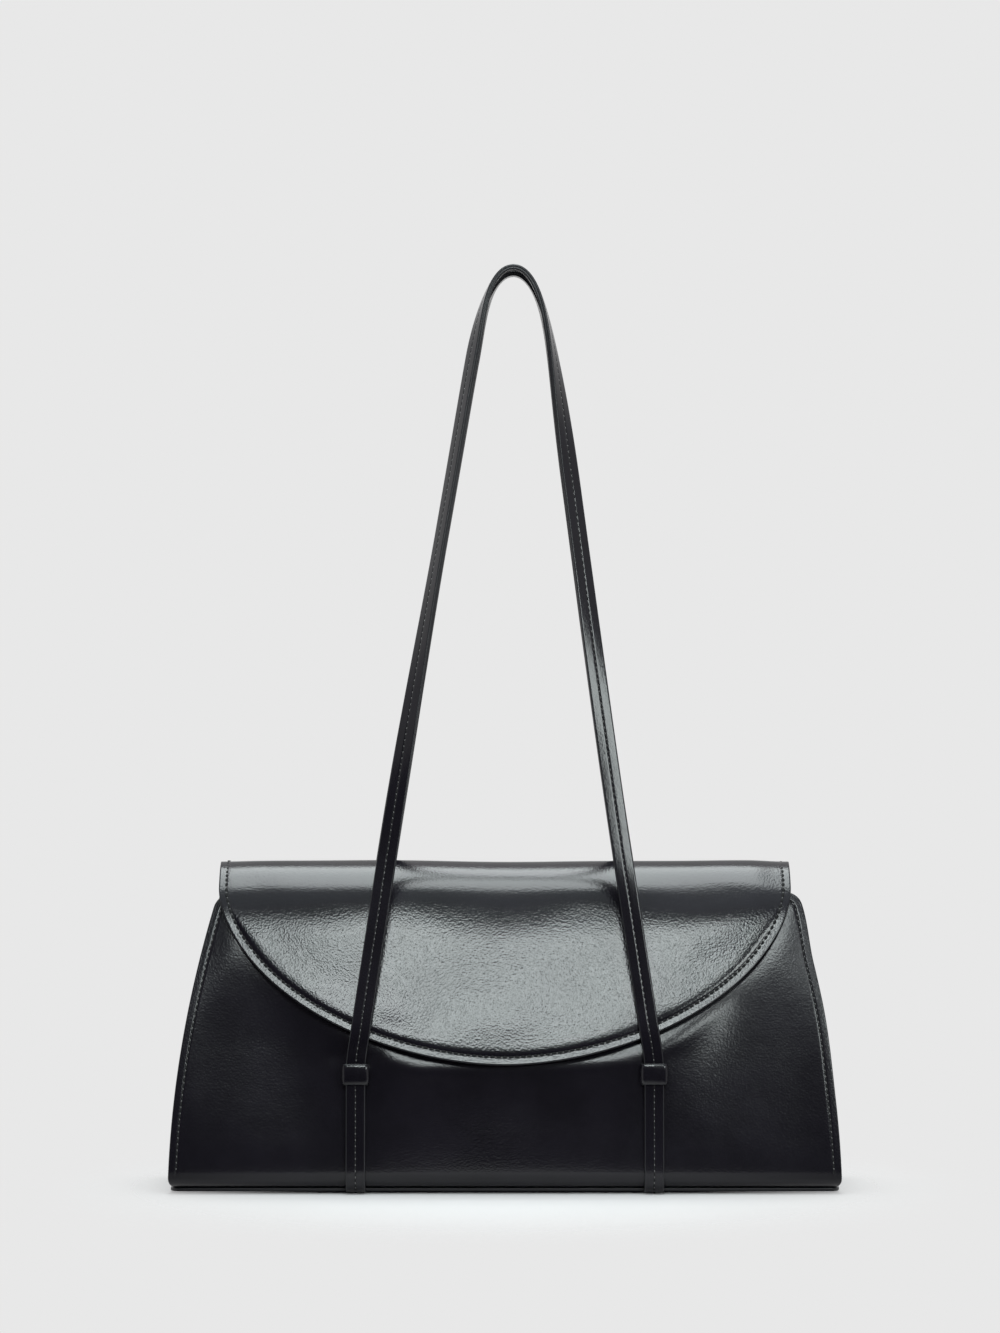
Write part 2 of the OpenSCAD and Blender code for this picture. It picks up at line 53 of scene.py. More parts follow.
camera = bpy.data.objects.new("camera", bpy.data.cameras.new("camera"))
camera.data.lens = 124.3
camera.data.sensor_width = 36.0
camera.location = (-0.0024, -2.29, 0.258)
camera.rotation_euler = (math.radians(90), 0, 0)
scene.collection.objects.link(camera)
scene.camera = camera


class Knot:
    """A socket of a node tree that can be worked with like a number."""

    def __init__(self, tree, socket=None):
        self.tree, self.socket = tree, socket

    def node(self, kind, settings=None, inputs=None, out=0):
        made = self.tree.nodes.new(kind)
        for key, value in (settings or {}).items():
            setattr(made, key, value)
        for key, value in (inputs or {}).items():
            if isinstance(value, Knot):
                self.tree.links.new(value.socket, made.inputs[key])
            else:
                made.inputs[key].default_value = value
        return Knot(self.tree, made.outputs[out]) if len(made.outputs) else made

    def sum(self, operation, a, b=0.0):
        return self.node("ShaderNodeMath", {"operation": operation}, {0: a, 1: b})

    def __add__(self, other): return self.sum("ADD", self, other)
    def __radd__(self, other): return self.sum("ADD", other, self)
    def __sub__(self, other): return self.sum("SUBTRACT", self, other)
    def __rsub__(self, other): return self.sum("SUBTRACT", other, self)
    def __mul__(self, other): return self.sum("MULTIPLY", self, other)
    def __rmul__(self, other): return self.sum("MULTIPLY", other, self)

    def step(self, low, high):
        """0 below low, 1 above high, and a smooth rise between them."""
        return self.node("ShaderNodeMapRange", {"interpolation_type": "SMOOTHSTEP"},
                         {"Value": self, "From Min": low, "From Max": high})

    def size(self):
        return self.sum("ABSOLUTE", self)

    def part(self, index):
        return self.node("ShaderNodeSeparateXYZ", None, {0: self}, index)

    def mix(self, a, b):
        """Colour a where this is 0, colour b where it is 1."""
        return self.node("ShaderNodeMix", {"data_type": "RGBA"}, {0: self, 6: a, 7: b}, 2)

    def noise(self, scale, **inputs):
        """A noise over the place that this is."""
        return self.node("ShaderNodeTexNoise", None, {"Vector": self, "Scale": scale, **inputs})

    def bump(self, strength, distance, **inputs):
        """A normal whose relief has this height."""
        return self.node("ShaderNodeBump", None,
                         {"Strength": strength, "Distance": distance, "Height": self, **inputs})


def material(name):
    """A new material, its empty tree and the place on the object."""
    made = bpy.data.materials.new(name)
    made.use_nodes = True
    made.node_tree.nodes.clear()
    tree = Knot(made.node_tree)
    return made, tree, tree.node("ShaderNodeTexCoord", None, None, 3)


def finish_material(tree, surface):
    """Puts a shader, or the inputs of a Principled one, on the material's output."""
    if isinstance(surface, dict):
        surface = tree.node("ShaderNodeBsdfPrincipled", None, surface)
    tree.node("ShaderNodeOutputMaterial", None, {"Surface": surface})


backdrop = (0.807, 0.807, 0.807, 1)
world = bpy.data.worlds.new("studio")
world.use_nodes = True
world.node_tree.nodes.clear()
sky = Knot(world.node_tree)
direction = sky.node("ShaderNodeTexCoord")
in_front = (0.42 * direction.part(2) - direction.part(1)).step(-0.1, 0.3)
aside = direction.part(0).size().step(0.55, 0.78)
dark = direction.part(2).step(0.02, 0.16).mix((0.03, 0.03, 0.035, 1), (0.070, 0.066, 0.082, 1))
dark = direction.part(2).step(0.30, 0.48).mix(dark, (0.015, 0.015, 0.018, 1))
dark = direction.part(2).step(0.60, 0.78).mix(dark, (0.66, 0.74, 0.77, 1))
sides = direction.part(1).step(-0.2, 0.3).mix((0.50, 0.50, 0.51, 1), (0.85, 0.85, 0.86, 1))
room = (in_front * (1 - aside)).mix(sides, dark)
rays = [sky.node("ShaderNodeLightPath", None, None, kind) for kind in (0, 3, 6)]
behind = direction.part(1).step(0.1, 0.4)
seen = (rays[0] + (rays[1] + rays[2]) * behind).mix(room, backdrop)
glow = sky.node("ShaderNodeBackground", None, {"Color": seen})
sky.node("ShaderNodeOutputWorld", None, {"Surface": glow})
scene.world = world

floor_mesh = bpy.data.meshes.new("floor")
floor_mesh.from_pydata([(-3, -3, 0), (3, -3, 0), (3, 3, 0), (-3, 3, 0)], [], [(0, 1, 2, 3)])
floor = bpy.data.objects.new("floor", floor_mesh)
scene.collection.objects.link(floor)
paper, tree, place = material("floor_paper")
away = tree.node("ShaderNodeVectorMath", {"operation": "LENGTH"}, {0: place}, 1)
# The floor's colour is painted lighter close to the bag, darkening to a quarter metre away: a painted glow
# round its foot.
painted_glow_near_bag = away.step(0.05, 0.24).mix((0.700, 0.680, 0.678, 1), (0.575, 0.555, 0.552, 1))
finish_material(tree, tree.node("ShaderNodeMixShader", None, {
    0: away.step(0.09, 0.25),
    1: tree.node("ShaderNodeBsdfDiffuse", None, {"Color": painted_glow_near_bag}),
    2: tree.node("ShaderNodeBsdfTransparent")}))
floor_mesh.materials.append(paper)


def soft_box(name, place, aim, width, height, brightness, tint):
    lamp = bpy.data.lights.new(name, "AREA")
    lamp.color = tint
    lamp.shape, lamp.size, lamp.size_y = "RECTANGLE", width, height
    lamp.energy = brightness * math.pi * width * height
    made = bpy.data.objects.new(name, lamp)
    made.location = place
    made.rotation_euler = (Vector(aim) - Vector(place)).to_track_quat("-Z", "Y").to_euler()
    scene.collection.objects.link(made)


soft_box("front_box", place=(0.0, -1.382, 1.002), aim=(0.0, -0.03, 0.11), width=0.56, height=0.26,
         brightness=14.5, tint=(0.92, 1.0, 1.0))
soft_box("top_box", place=(0.0, 0.02, 1.22), aim=(0, 0.0, 0.16), width=0.58, height=1.00,
         brightness=7.2, tint=(0.93, 1.0, 1.0))
soft_box("side_strip", place=(0.74, -1.40, 0.63), aim=(0.045, -0.03, 0.24), width=0.44, height=0.36,
         brightness=11.5, tint=(0.92, 1.0, 0.99))

# Front and back panels: two panels of smooth black calf leather, 2.2 mm thick. Their foot is turned
# under in a soft roll, their other edges are cut, painted and stitched 4 mm in.

BASE_W, BASE_D, MOUTH_D, MOUTH_H, BACK_H = 0.330, 0.084, 0.028, 0.145, 0.152
PANEL_T, ROLL_R, PANEL_FOOT, STITCH_IN = 0.0022, 0.008, 0.0029, 0.0039
SIDE_DRAW, TOP_R, FOOT_R, CURVE = 0.0227, 0.008, 0.005, 1.8
ROLL_Z = PANEL_FOOT + ROLL_R
PANELS = (("front", MOUTH_H, False), ("back", BACK_H, True))
SIDES = ((-1, "left"), (1, "right"))
# The front panel's form follows the straps, the keepers and the flap, so their places are given here.
STRAP_X, KEEPER_TOP, KNEE_LOW = 0.073, 0.0625, 0.0605
DIMPLES, DIMPLE_Z = ((-0.0812, 0.0011), (-0.0644, 0.0012), (0.0646, 0.0003), (0.0818, 0.0003)), 0.0672
FLAP_SIDE_Z, FLAP_DROP, FOLD_START, CRESCENT = 0.150, 0.0883, 0.120, 1.85
FLAP_LOW_Z = FLAP_SIDE_Z - FLAP_DROP


def smooth(t):
    t = np.clip(t, 0, 1)
    return t * t * (3 - 2 * t)


def ramp(x, start, reach):
    """0 before the start, 1 a reach after it, and a smooth rise between them."""
    return smooth((x - start) / reach)


def hump(x, middle, width):
    """1 at the middle, falling to 0 on both sides of it."""
    return np.exp(-((x - middle) / width) ** 2)


def unit(vectors):
    return vectors / np.maximum(np.linalg.norm(vectors, axis=-1, keepdims=True), 1e-9)


def to_left(line, ends=None):
    """Unit vectors to the left of a flat line's run. Its first and last directions may be given."""
    run = np.gradient(line, axis=0)
    if ends:
        run[0], run[-1] = ends
    run = unit(run)
    return np.stack([-run[:, 1], run[:, 0]], axis=1)


def summed(values, at):
    """The running sum of values over places."""
    return np.concatenate([[0], np.cumsum((values[:-1] + values[1:]) / 2 * np.diff(at))])


def lengths_along(line):
    return np.concatenate([[0], np.cumsum(np.linalg.norm(np.diff(line, axis=0), axis=1))])


def even(line, count):
    """A line of points resampled to even steps."""
    run = lengths_along(line)
    at = np.linspace(0, run[-1], count)
    return np.stack([np.interp(at, run, line[:, k]) for k in range(line.shape[1])], axis=1)


def front_y(z):
    """The front panel's pattern, which leans back more and more."""
    return -BASE_D / 2 + (BASE_D - MOUTH_D) / 2 * np.power(np.maximum(z, 1e-6) / MOUTH_H, CURVE)


def lean(z):
    slope = (BASE_D - MOUTH_D) / 2 * CURVE / MOUTH_H
    return np.arctan(slope * np.power(np.maximum(z, 1e-6) / MOUTH_H, CURVE - 1))


def off_front(z, off):
    """(y, z) at a distance off from the front panel's pattern, square to it at a height."""
    a = lean(z)
    return front_y(z) - off * math.cos(a), z + off * math.sin(a)


def half_w(z):
    t = z / MOUTH_H
    return BASE_W / 2 - SIDE_DRAW * (0.13 * t + 0.87 * t * t)


def edge_x(z, top):
    """Half the width of a panel whose top edge is at top, its corners rounded."""
    a = math.atan(SIDE_DRAW / MOUTH_H * (0.13 + 1.74 * top / MOUTH_H))
    low = PANEL_FOOT - FOOT_R / 5 + FOOT_R
    high = top - TOP_R
    turn = high + TOP_R * math.sin(a)
    foot = half_w(low) - FOOT_R + np.sqrt(np.maximum(0, FOOT_R ** 2 - (low - z) ** 2))
    head = half_w(turn) - TOP_R * math.cos(a) + np.sqrt(np.maximum(0, TOP_R ** 2 - (z - high) ** 2))
    return np.where(z < low, foot, np.where(z > turn, head, half_w(z)))


ROLL_LEAN = lean(ROLL_Z)
ROLL_START = ROLL_Z + ROLL_R * math.sin(ROLL_LEAN)
ROLL_Y = front_y(ROLL_START) + ROLL_R * math.cos(ROLL_LEAN)


def wall_rows(heights, roll_steps=0):
    """Rows of (y, z, outward angle) up the front wall, with the foot's roll below them if asked."""
    rows = [(ROLL_Y - ROLL_R * math.cos(a), ROLL_Z + ROLL_R * math.sin(a), a)
            for a in np.linspace(-math.pi / 2, ROLL_LEAN, roll_steps + 1)[:-1]] if roll_steps else []
    rows += [(front_y(z), z, lean(z)) for z in heights]
    return np.array(rows)


def hollow(x, z):
    """How far the leather sinks from its pattern: softly all over, and in dimples beside the keepers.
    Its corners swell at the top and sink lower down."""
    sink = 0.00035 * (1 + np.sin(31 * x + 9 * z + 0.6) * np.cos(22 * z - 14 * x))
    by_strap = 1 - np.cos(2 * np.pi * np.clip(np.abs(x) / STRAP_X, 0, 2))
    sink = sink + 0.0003 * by_strap * ramp(z, 0.02, 0.03)
    upper = ramp(z, 0.070, 0.055)
    sink = sink - (0.0020 * ramp(-x, 0.080, 0.03) + 0.0010 * ramp(x, 0.112, 0.02)) * upper
    corners = 0.0013 * ramp(-x, 0.075, 0.03) + 0.0007 * ramp(x, 0.070, 0.065)
    sink = sink + corners * (1 - upper) * ramp(z, 0.015, 0.05)
    for place, depth in DIMPLES:
        sink = sink + depth * np.exp(-((x - place) / 0.0040) ** 2 - ((z - DIMPLE_Z) / 0.0042) ** 2)
    return sink


def flap_edge_z(x):
    """Height of the flap's crescent edge at a place across the bag."""
    t = np.clip(np.abs(x) / 0.1395, 0, 1)
    return FLAP_SIDE_Z - FLAP_DROP * np.power(np.maximum(1 - np.power(t, CRESCENT), 0), 1 / CRESCENT)


def press(x, z):
    """The front panel is pressed in behind the flap, which tips its leather up round the flap's edge."""
    below = flap_edge_z(x) - z
    strength = 0.0001 + 0.0003 * ramp(x, 0.080, 0.03)
    return strength * (1 - smooth((below + 0.004) / 0.015))


def straight_run(z):
    """How far a straight flap, which leaves the front panel at its fold, stands off it lower down.
    It leans 18.2 degrees at the fold, and a little more below it."""
    heights = np.linspace(0.055, FOLD_START, 60)
    straight = np.radians(18.2 + 2.4 * (FOLD_START - heights) / 0.05)
    total = summed(np.maximum(np.tan(straight) - np.tan(lean(heights)), 0), heights)
    return np.interp(z, heights, total[-1] - total)


def belly(x, z):
    """The front panel fills most of the room behind the flap, and near the flap's edge, at its knee,
    starts to fall back to the foot."""
    edge = flap_edge_z(x)
    hold = 0.0005 + 0.0080 * ramp(x, 0.010, 0.06) * (1 - ramp(x, 0.076, 0.050))
    hold = hold + 0.0065 * hump(x, -0.048, 0.028)
    knee = np.maximum(edge - hold, KNEE_LOW)
    bent = 1.85 + 75 * np.maximum(edge - FLAP_LOW_Z, 0)
    low = straight_run(knee) * np.power(np.maximum(z, 0) / knee, bent)
    out = smooth((z - knee + 0.005) / 0.010)
    side = smooth((edge_x(z, MOUTH_H) - np.abs(x)) / 0.045)
    return 0.88 * (low * (1 - out) + straight_run(z) * out) * side


def along_wall(x, rows, off, back=False):
    """Points at distance off from the wall's face, for columns x (rows by columns). The front wall's
    right corner is drawn out a little."""
    y, z, a = [rows[:, k][:, None] for k in range(3)]
    off = off + np.zeros_like(x)
    fade = ramp(z, ROLL_START, 0.02) * smooth((edge_x(z, BACK_H) - np.abs(x)) / 0.02)
    if back:
        off = off - fade * hollow(-x, z)
        return np.stack([x, -(y - off * np.cos(a)), z + off * np.sin(a)], axis=-1)
    off = off - fade * (hollow(x, z) + press(x, z)) + belly(x, z)
    at_right = ramp(x, 0.108, 0.03)
    corner = ramp(z, 0.112, 0.026) * at_right
    x = x + 0.0018 * corner + 0.0013 * ramp(z, 0.045, 0.05) * at_right
    return np.stack([x, y - off * np.cos(a), z + off * np.sin(a) + 0.0012 * corner], axis=-1)


def squares(n):
    """The faces between a grid's point numbers."""
    return np.stack([n[:-1, :-1], n[:-1, 1:], n[1:, 1:], n[1:, :-1]], axis=-1).reshape(-1, 4)


def grid_faces(rows, columns):
    """A grid's faces and the ring of points round it."""
    n = np.arange(rows * columns).reshape(rows, columns)
    return squares(n), np.concatenate([n[0, :], n[1:, -1], n[-1, :-1][::-1], n[1:-1, 0][::-1]])


def shell(name, outer, inner, finishes, bulge=0.0004, steps=5, cells=None):
    """A closed piece of leather or cloth: an outer and an inner skin with the same faces, and a
    rounded cut edge between them that gets the last finish."""
    faces, rim = cells or grid_faces(*outer.shape[:2])
    outer, inner = outer.reshape(-1, 3), inner.reshape(-1, 3)
    edge_out, edge_in = outer[rim], inner[rim]
    thick = edge_out - edge_in
    along = np.roll(edge_out, -1, axis=0) - np.roll(edge_out, 1, axis=0)
    away = unit(np.cross(along, unit(thick)))
    # The cut edge bulges away from the cells beside it.
    cell = {}
    for face in faces[np.isin(faces, rim).any(axis=1)]:
        for v in face:
            cell.setdefault(int(v), []).append(outer[face].mean(axis=0))
    votes = sum(float(np.dot(away[i], outer[v] - np.mean(cell[int(v)], axis=0))) for i, v in enumerate(rim))
    if votes < 0:
        away = -away
    verts, bands = [outer, inner], [rim]
    for k in range(1, steps):
        a = math.pi * k / steps
        verts.append(edge_out - thick * (1 - math.cos(a)) / 2 + away * bulge * math.sin(a) ** 0.6)
        bands.append(len(outer) * 2 + len(rim) * (k - 1) + np.arange(len(rim)))
    bands.append(rim + len(outer))
    cut = [np.stack([a, b, np.roll(b, -1), np.roll(a, -1)], axis=1) for a, b in zip(bands[:-1], bands[1:])]
    polygons = np.concatenate([faces, faces[:, ::-1] + len(outer)] + cut).tolist()
    index = [0] * 2 * len(faces) + [len(finishes) - 1] * (len(polygons) - 2 * len(faces))
    return close_up(name, np.concatenate(verts), polygons, finishes, index)


def close_up(name, verts, polygons, finishes, index=None):
    """Makes a closed mesh, turns its faces outwards, shades it smooth and stands it in the scene."""
    mesh = bpy.data.meshes.new(name)
    mesh.from_pydata([tuple(v) for v in verts], [], polygons)
    for finish in finishes:
        mesh.materials.append(finish)
    if index:
        mesh.polygons.foreach_set("material_index", index)
    work = bmesh.new()
    work.from_mesh(mesh)
    bmesh.ops.remove_doubles(work, verts=work.verts, dist=1e-7)
    bmesh.ops.recalc_face_normals(work, faces=work.faces)
    work.to_mesh(mesh)
    work.free()
    mesh.shade_smooth()
    made = bpy.data.objects.new(name, mesh)
    scene.collection.objects.link(made)
    return made


def mottled(name, scale, detail, dark, light, rough, vary, relief=None, **more):
    """A material whose colour, finish and relief all follow one noise."""
    made, tree, place = material(name)
    mottle = place.noise(scale, Detail=detail)
    inputs = {"Base Color": mottle.mix(dark + (1,), light + (1,)),
              "Roughness": rough + mottle * vary, **more}
    if relief:
        inputs["Normal"] = mottle.bump(*relief)
    finish_material(tree, inputs)
    return made


BLACK = (0.0064, 0.0054, 0.0086)


def leather(name, rough, grain):
    """Boarded calf leather: a fine grain with pores over a soft unevenness, and a finish that varies."""
    made, tree, place = material(name)
    cloud = place.noise(38.0, Detail=3.0)
    fine = place.noise(1400.0, Detail=1.0)
    cells = tree.node("ShaderNodeTexVoronoi", {"feature": "SMOOTH_F1"},
                      {"Vector": place, "Scale": 1050.0, "Smoothness": 0.7})
    rub = place.noise(210.0, Detail=5.0, Roughness=0.65)
    dark, light = [tuple(c * shade for c in BLACK) + (1,) for shade in (0.82, 1.18)]
    relief = cloud.bump(0.11, 0.0012)
    relief = (cells * 0.7 + fine * 0.5).bump(0.16 * grain, 0.00022, Normal=relief)
    finish_material(tree, {"Base Color": cloud.step(0.3, 0.72).mix(dark, light), "IOR": 1.48,
                           "Roughness": rough - 0.04 + cloud * 0.05 + rub * 0.06, "Normal": relief})
    return made


calf = leather("calf_leather", 0.152, 1.8)
calf_panel = leather("calf_panel", 0.215, 1.8)
# Edge paint, rolled on in coats: nearly black, satin, with soft runs along the cut.
paint = mottled("painted_edge", scale=420.0, detail=3.0, dark=(0.008, 0.008, 0.010),
                light=(0.016, 0.016, 0.019), rough=0.30, vary=0.12, relief=(0.3, 0.0002), IOR=1.47)
rim_steps = np.array([0.45, 0.8, 1.3, 2.0, 2.8, 3.3, 3.6, 3.85, 4.1, 4.4, 4.9, 5.6, 6.6, 8.0, 10.0]) / 1000


def side_columns(edge, count=78):
    """Columns across a panel, close together near both side edges (rows by columns)."""
    edge = np.asarray(edge)[:, None]
    left = -(edge - rim_steps[None, :])
    inner = edge - rim_steps[-1]
    middle = inner * np.linspace(-1, 1, count + 1)[None, 1:-1]
    return np.concatenate([left, middle, -left[:, ::-1]], axis=1)


def distance_to(line, x, z):
    """Distance from points to a line of points, in the front view."""
    best = np.full(x.shape, np.inf)
    for (ax, az), (bx, bz) in zip(line[:-1], line[1:]):
        dx, dz = bx - ax, bz - az
        t = np.clip(((x - ax) * dx + (z - az) * dz) / (dx * dx + dz * dz), 0, 1)
        best = np.minimum(best, np.hypot(x - ax - t * dx, z - az - t * dz))
    return best


def panel_outline(top):
    z = np.concatenate([np.linspace(0.006, top - 0.009, 40), top - 0.008 * np.linspace(1, 0, 14) ** 2])
    right = np.stack([edge_x(z, top), z], axis=1)
    return np.concatenate([right * [-1, 1], right[::-1]])


for label, top, back in PANELS:
    # Rows and columns lie close together near the cut edges, where the groove and the seam run.
    low = np.linspace(ROLL_START, top - 0.012, 44)
    high = top - np.array([10.6, 9.4, 8.3, 7.3, 6.4, 5.6, 4.9, 4.4, 4.1, 3.85, 3.6, 3.3, 2.8, 2.1, 1.4, 0.8,
                           0.4]) / 1000
    rows = wall_rows(np.concatenate([low, high]), 14)
    x = side_columns(edge_x(rows[:, 1], top))
    z = rows[:, 1][:, None] + 0 * x
    d = distance_to(panel_outline(top), x, z)
    groove = 0.00028 * hump(d, STITCH_IN, 0.00042) + 0.00016 * smooth(1 - d / STITCH_IN)
    outer = along_wall(x, rows, -groove * ramp(z, 0.006, 0.004), back)
    made = shell(label + "_panel_leather", outer, along_wall(x, rows, -PANEL_T, back), [calf_panel, paint])
    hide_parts(label + "_panel")
    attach(made, "bag_body")

# Stitching: bonded black thread, 3 mm to a stitch, lying a little aslant between punched holes. The holes'
# shade is painted in as near-black beads. Every seam of the bag is laid along a line on the leather, and
# each stitch stands on that line.

PITCH = 0.003

# The black thread is painted a mid grey, lighter on the ridges of its twist: a painted sheen for its wax.
thread_painted_sheen, tree, place = material("thread_painted_sheen")
ply_sheen = tree.node("ShaderNodeTexWave", {"wave_type": "BANDS", "bands_direction": "DIAGONAL"},
                {"Vector": place, "Scale": 900.0, "Distortion": 1.0})
finish_material(tree, {"Base Color": ply_sheen.mix((0.115, 0.113, 0.110, 1), (0.200, 0.198, 0.192, 1)),
                       "Roughness": 0.44 + ply_sheen * 0.08, "Normal": ply_sheen.bump(0.4, 0.0001)})
# Painted shade: the shade inside each punched hole is a near-black bead set on the leather between
# stitches.
hole_shade = mottled("stitch_hole_shade", scale=900.0, detail=2.0, dark=(0.0015, 0.0015, 0.002),
                    light=(0.004, 0.004, 0.005), rough=0.8, vary=0.15)


def stitch_tree():
    """Geometry nodes: one bead for each stitch along a line, lying on the leather's face."""
    tree = bpy.data.node_groups.new("stitches", "GeometryNodeTree")
    sockets = {}
    tree.interface.new_socket("Geometry", in_out="INPUT", socket_type="NodeSocketGeometry")
    for name, value in {"Pitch": PITCH, "Length": 0.002, "Width": 0.0006, "Height": 0.0005, "Slant": 0.2,
                        "Shift": 0.0}.items():
        made = tree.interface.new_socket(name, in_out="INPUT", socket_type="NodeSocketFloat")
        made.default_value = value
        sockets[name] = made.identifier
    made = tree.interface.new_socket("Finish", in_out="INPUT", socket_type="NodeSocketMaterial")
    sockets["Finish"] = made.identifier
    tree.interface.new_socket("Geometry", in_out="OUTPUT", socket_type="NodeSocketGeometry")
    knot = Knot(tree)
    start = tree.nodes.new("NodeGroupInput")
    take = {s.name: Knot(tree, s) for s in start.outputs}
    line = knot.node("GeometryNodeMeshToCurve", None, {0: take["Geometry"]})
    line = knot.node("GeometryNodeResampleCurve", {"mode": "LENGTH"},
                     {"Curve": line, "Length": take["Pitch"]})
    along = knot.node("GeometryNodeInputTangent")
    up = knot.node("GeometryNodeInputNamedAttribute", {"data_type": "FLOAT_VECTOR"}, {"Name": "up"})
    shift = knot.node("ShaderNodeVectorMath", {"operation": "SCALE"}, {0: along, 3: take["Shift"]})
    line = knot.node("GeometryNodeSetPosition", None, {"Geometry": line, "Offset": shift})
    turn = knot.node("FunctionNodeAxesToRotation", {"primary_axis": "Z", "secondary_axis": "X"},
                     {"Primary Axis": up, "Secondary Axis": along})
    bead = knot.node("GeometryNodeMeshUVSphere", None, {"Segments": 8, "Rings": 5, "Radius": 0.5})
    size = knot.node("ShaderNodeCombineXYZ", None, {0: take["Length"], 1: take["Width"], 2: take["Height"]})
    bead = knot.node("GeometryNodeTransform", None, {"Geometry": bead, "Scale": size})
    aslant = knot.node("ShaderNodeCombineXYZ", None, {2: take["Slant"]})
    bead = knot.node("GeometryNodeTransform", None, {"Geometry": bead, "Rotation": aslant})
    vary = knot.node("FunctionNodeRandomValue", {"data_type": "FLOAT_VECTOR"},
                     {"Min": (0.93, 0.9, 0.9), "Max": (1.07, 1.1, 1.1), "Seed": 7})
    beads = knot.node("GeometryNodeInstanceOnPoints", None,
                      {"Points": line, "Instance": bead, "Rotation": turn, "Scale": vary})
    beads = knot.node("GeometryNodeRealizeInstances", None, {"Geometry": beads})
    beads = knot.node("GeometryNodeSetShadeSmooth", None, {"Geometry": beads})
    beads = knot.node("GeometryNodeSetMaterial", None, {"Geometry": beads, "Material": take["Finish"]})
    end = tree.nodes.new("NodeGroupOutput")
    tree.links.new(beads.socket, end.inputs[0])
    return tree, sockets


stitches, stitch_sockets = stitch_tree()


def bake(line, name):
    """The evaluated result of an object's modifiers as a plain mesh object."""
    bpy.context.view_layer.update()
    mesh = bpy.data.meshes.new_from_object(line.evaluated_get(bpy.context.evaluated_depsgraph_get()))
    mesh.name = name
    made = bpy.data.objects.new(name, mesh)
    scene.collection.objects.link(made)
    bpy.data.objects.remove(line)
    return made


def sew(name, lines, length=0.0011, width=0.0005, slant=0.16, hole_shade_size=(0.0021, 0.0011)):
    """Stitches along lines of (points, normals), and between them near-black beads, the painted shade of
    the punched holes.
    """
    points, ups = [np.concatenate(part) for part in zip(*lines)]
    edges, made = [], []
    for p, _ in lines:
        start = edges[-1][1] + 1 if edges else 0
        edges += [(start + i, start + i + 1) for i in range(len(p) - 1)]
    kinds = {"stitches": dict(Length=length, Width=width, Height=0.0005, Slant=slant, Shift=0.0,
                              Finish=thread_painted_sheen),
             "holes": dict(Length=hole_shade_size[0], Width=hole_shade_size[1], Height=0.00034, Slant=0.0, Shift=PITCH / 2,
                           Finish=hole_shade)}
    for kind, values in kinds.items():
        mesh = bpy.data.meshes.new(name)
        mesh.from_pydata([tuple(p) for p in points], edges, [])
        facing = mesh.attributes.new("up", "FLOAT_VECTOR", "POINT")
        facing.data.foreach_set("vector", ups.astype(np.float32).ravel())
        line = bpy.data.objects.new(name, mesh)
        scene.collection.objects.link(line)
        modifier = line.modifiers.new("stitches", "NODES")
        modifier.node_group = stitches
        for key, value in {"Pitch": PITCH, **values}.items():
            modifier[stitch_sockets[key]] = value
        seam = bake(line, name + "_" + kind)
        made.append(seam)
    return made


def on_panel(line, back):
    """Points and outward normals on a panel for a line of (x, z)."""
    points, ups = [], []
    for x, z in line:
        row = wall_rows([z])
        points.append(along_wall(np.array([[x]]), row, -0.0002, back)[0, 0])
        ups.append((0, (1 if back else -1) * math.cos(row[0, 2]), math.sin(row[0, 2])))
    return np.array(points), np.array(ups)


for label, top, back in PANELS:
    outline = panel_outline(top)
    seam = outline - STITCH_IN * to_left(outline)
    for piece in sew(label + "_panel_seam", [on_panel(seam[2:-2], back)]):
        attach(piece, "bag_body")

# Base: a stiff base panel of the same leather, its edges cut and painted, sewn to the panels' turned
# feet. Its edge shows as a thin line under the roll.

BASE_Z, BASE_T, BASE_CORNER = 0.0009, 0.0018, 0.005
half_x, half_y = BASE_W / 2 - 0.0012, BASE_D / 2 - 0.0068
near_end = np.array([0, 0.4, 1.2, 2.4, 4, 6]) / 1000
x = np.concatenate([near_end - half_x, np.linspace(-half_x + 0.012, half_x - 0.012, 60),
                    half_x - near_end[::-1]])
x, v = np.meshgrid(x, np.linspace(-1, 1, 25))
corner = np.clip((np.abs(x) - half_x + BASE_CORNER) / BASE_CORNER, 0, 1)
y = v * (half_y - BASE_CORNER + BASE_CORNER * np.sqrt(1 - corner ** 2))
outer, inner = [np.stack([x, y, 0 * x + level], axis=-1) for level in (BASE_Z, BASE_Z + BASE_T)]
base = shell("base_leather", outer, inner, [calf, paint], 0.0003)
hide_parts("base_panel")
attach(base, "bag_body")

# Gussets: each side is closed by a softer leather web that folds inwards, its edges turned along the
# backs of the panels. The fold is shallow at the base and deep at the mouth.

GUSSET_T, FLANGE_W, GLUE = 0.0018, 0.008, 0.0001


def inner_y(z, off):
    """Inner face of a layer of the front wall, its roll included."""
    wall = front_y(z) - off / np.cos(lean(z))
    roll = ROLL_Y - np.sqrt(np.maximum(0, (ROLL_R + off) ** 2 - (ROLL_Z - z) ** 2))
    return np.where(z >= ROLL_START, wall, roll)


def web_line(z, s):
    """At a height: the gusset's corner, its y at the panels, and how far it folds inwards at places s
    from -1 at the front to 1 at the back."""
    corner = half_w(z) - FLANGE_W
    y_edge = inner_y(z, -PANEL_T - GLUE) + 0.0002
    fold = (0.004 + 0.012 * z / MOUTH_H) * np.power(np.maximum(np.cos(np.pi / 2 * s), 0), 1.2)
    return corner, y_edge, fold


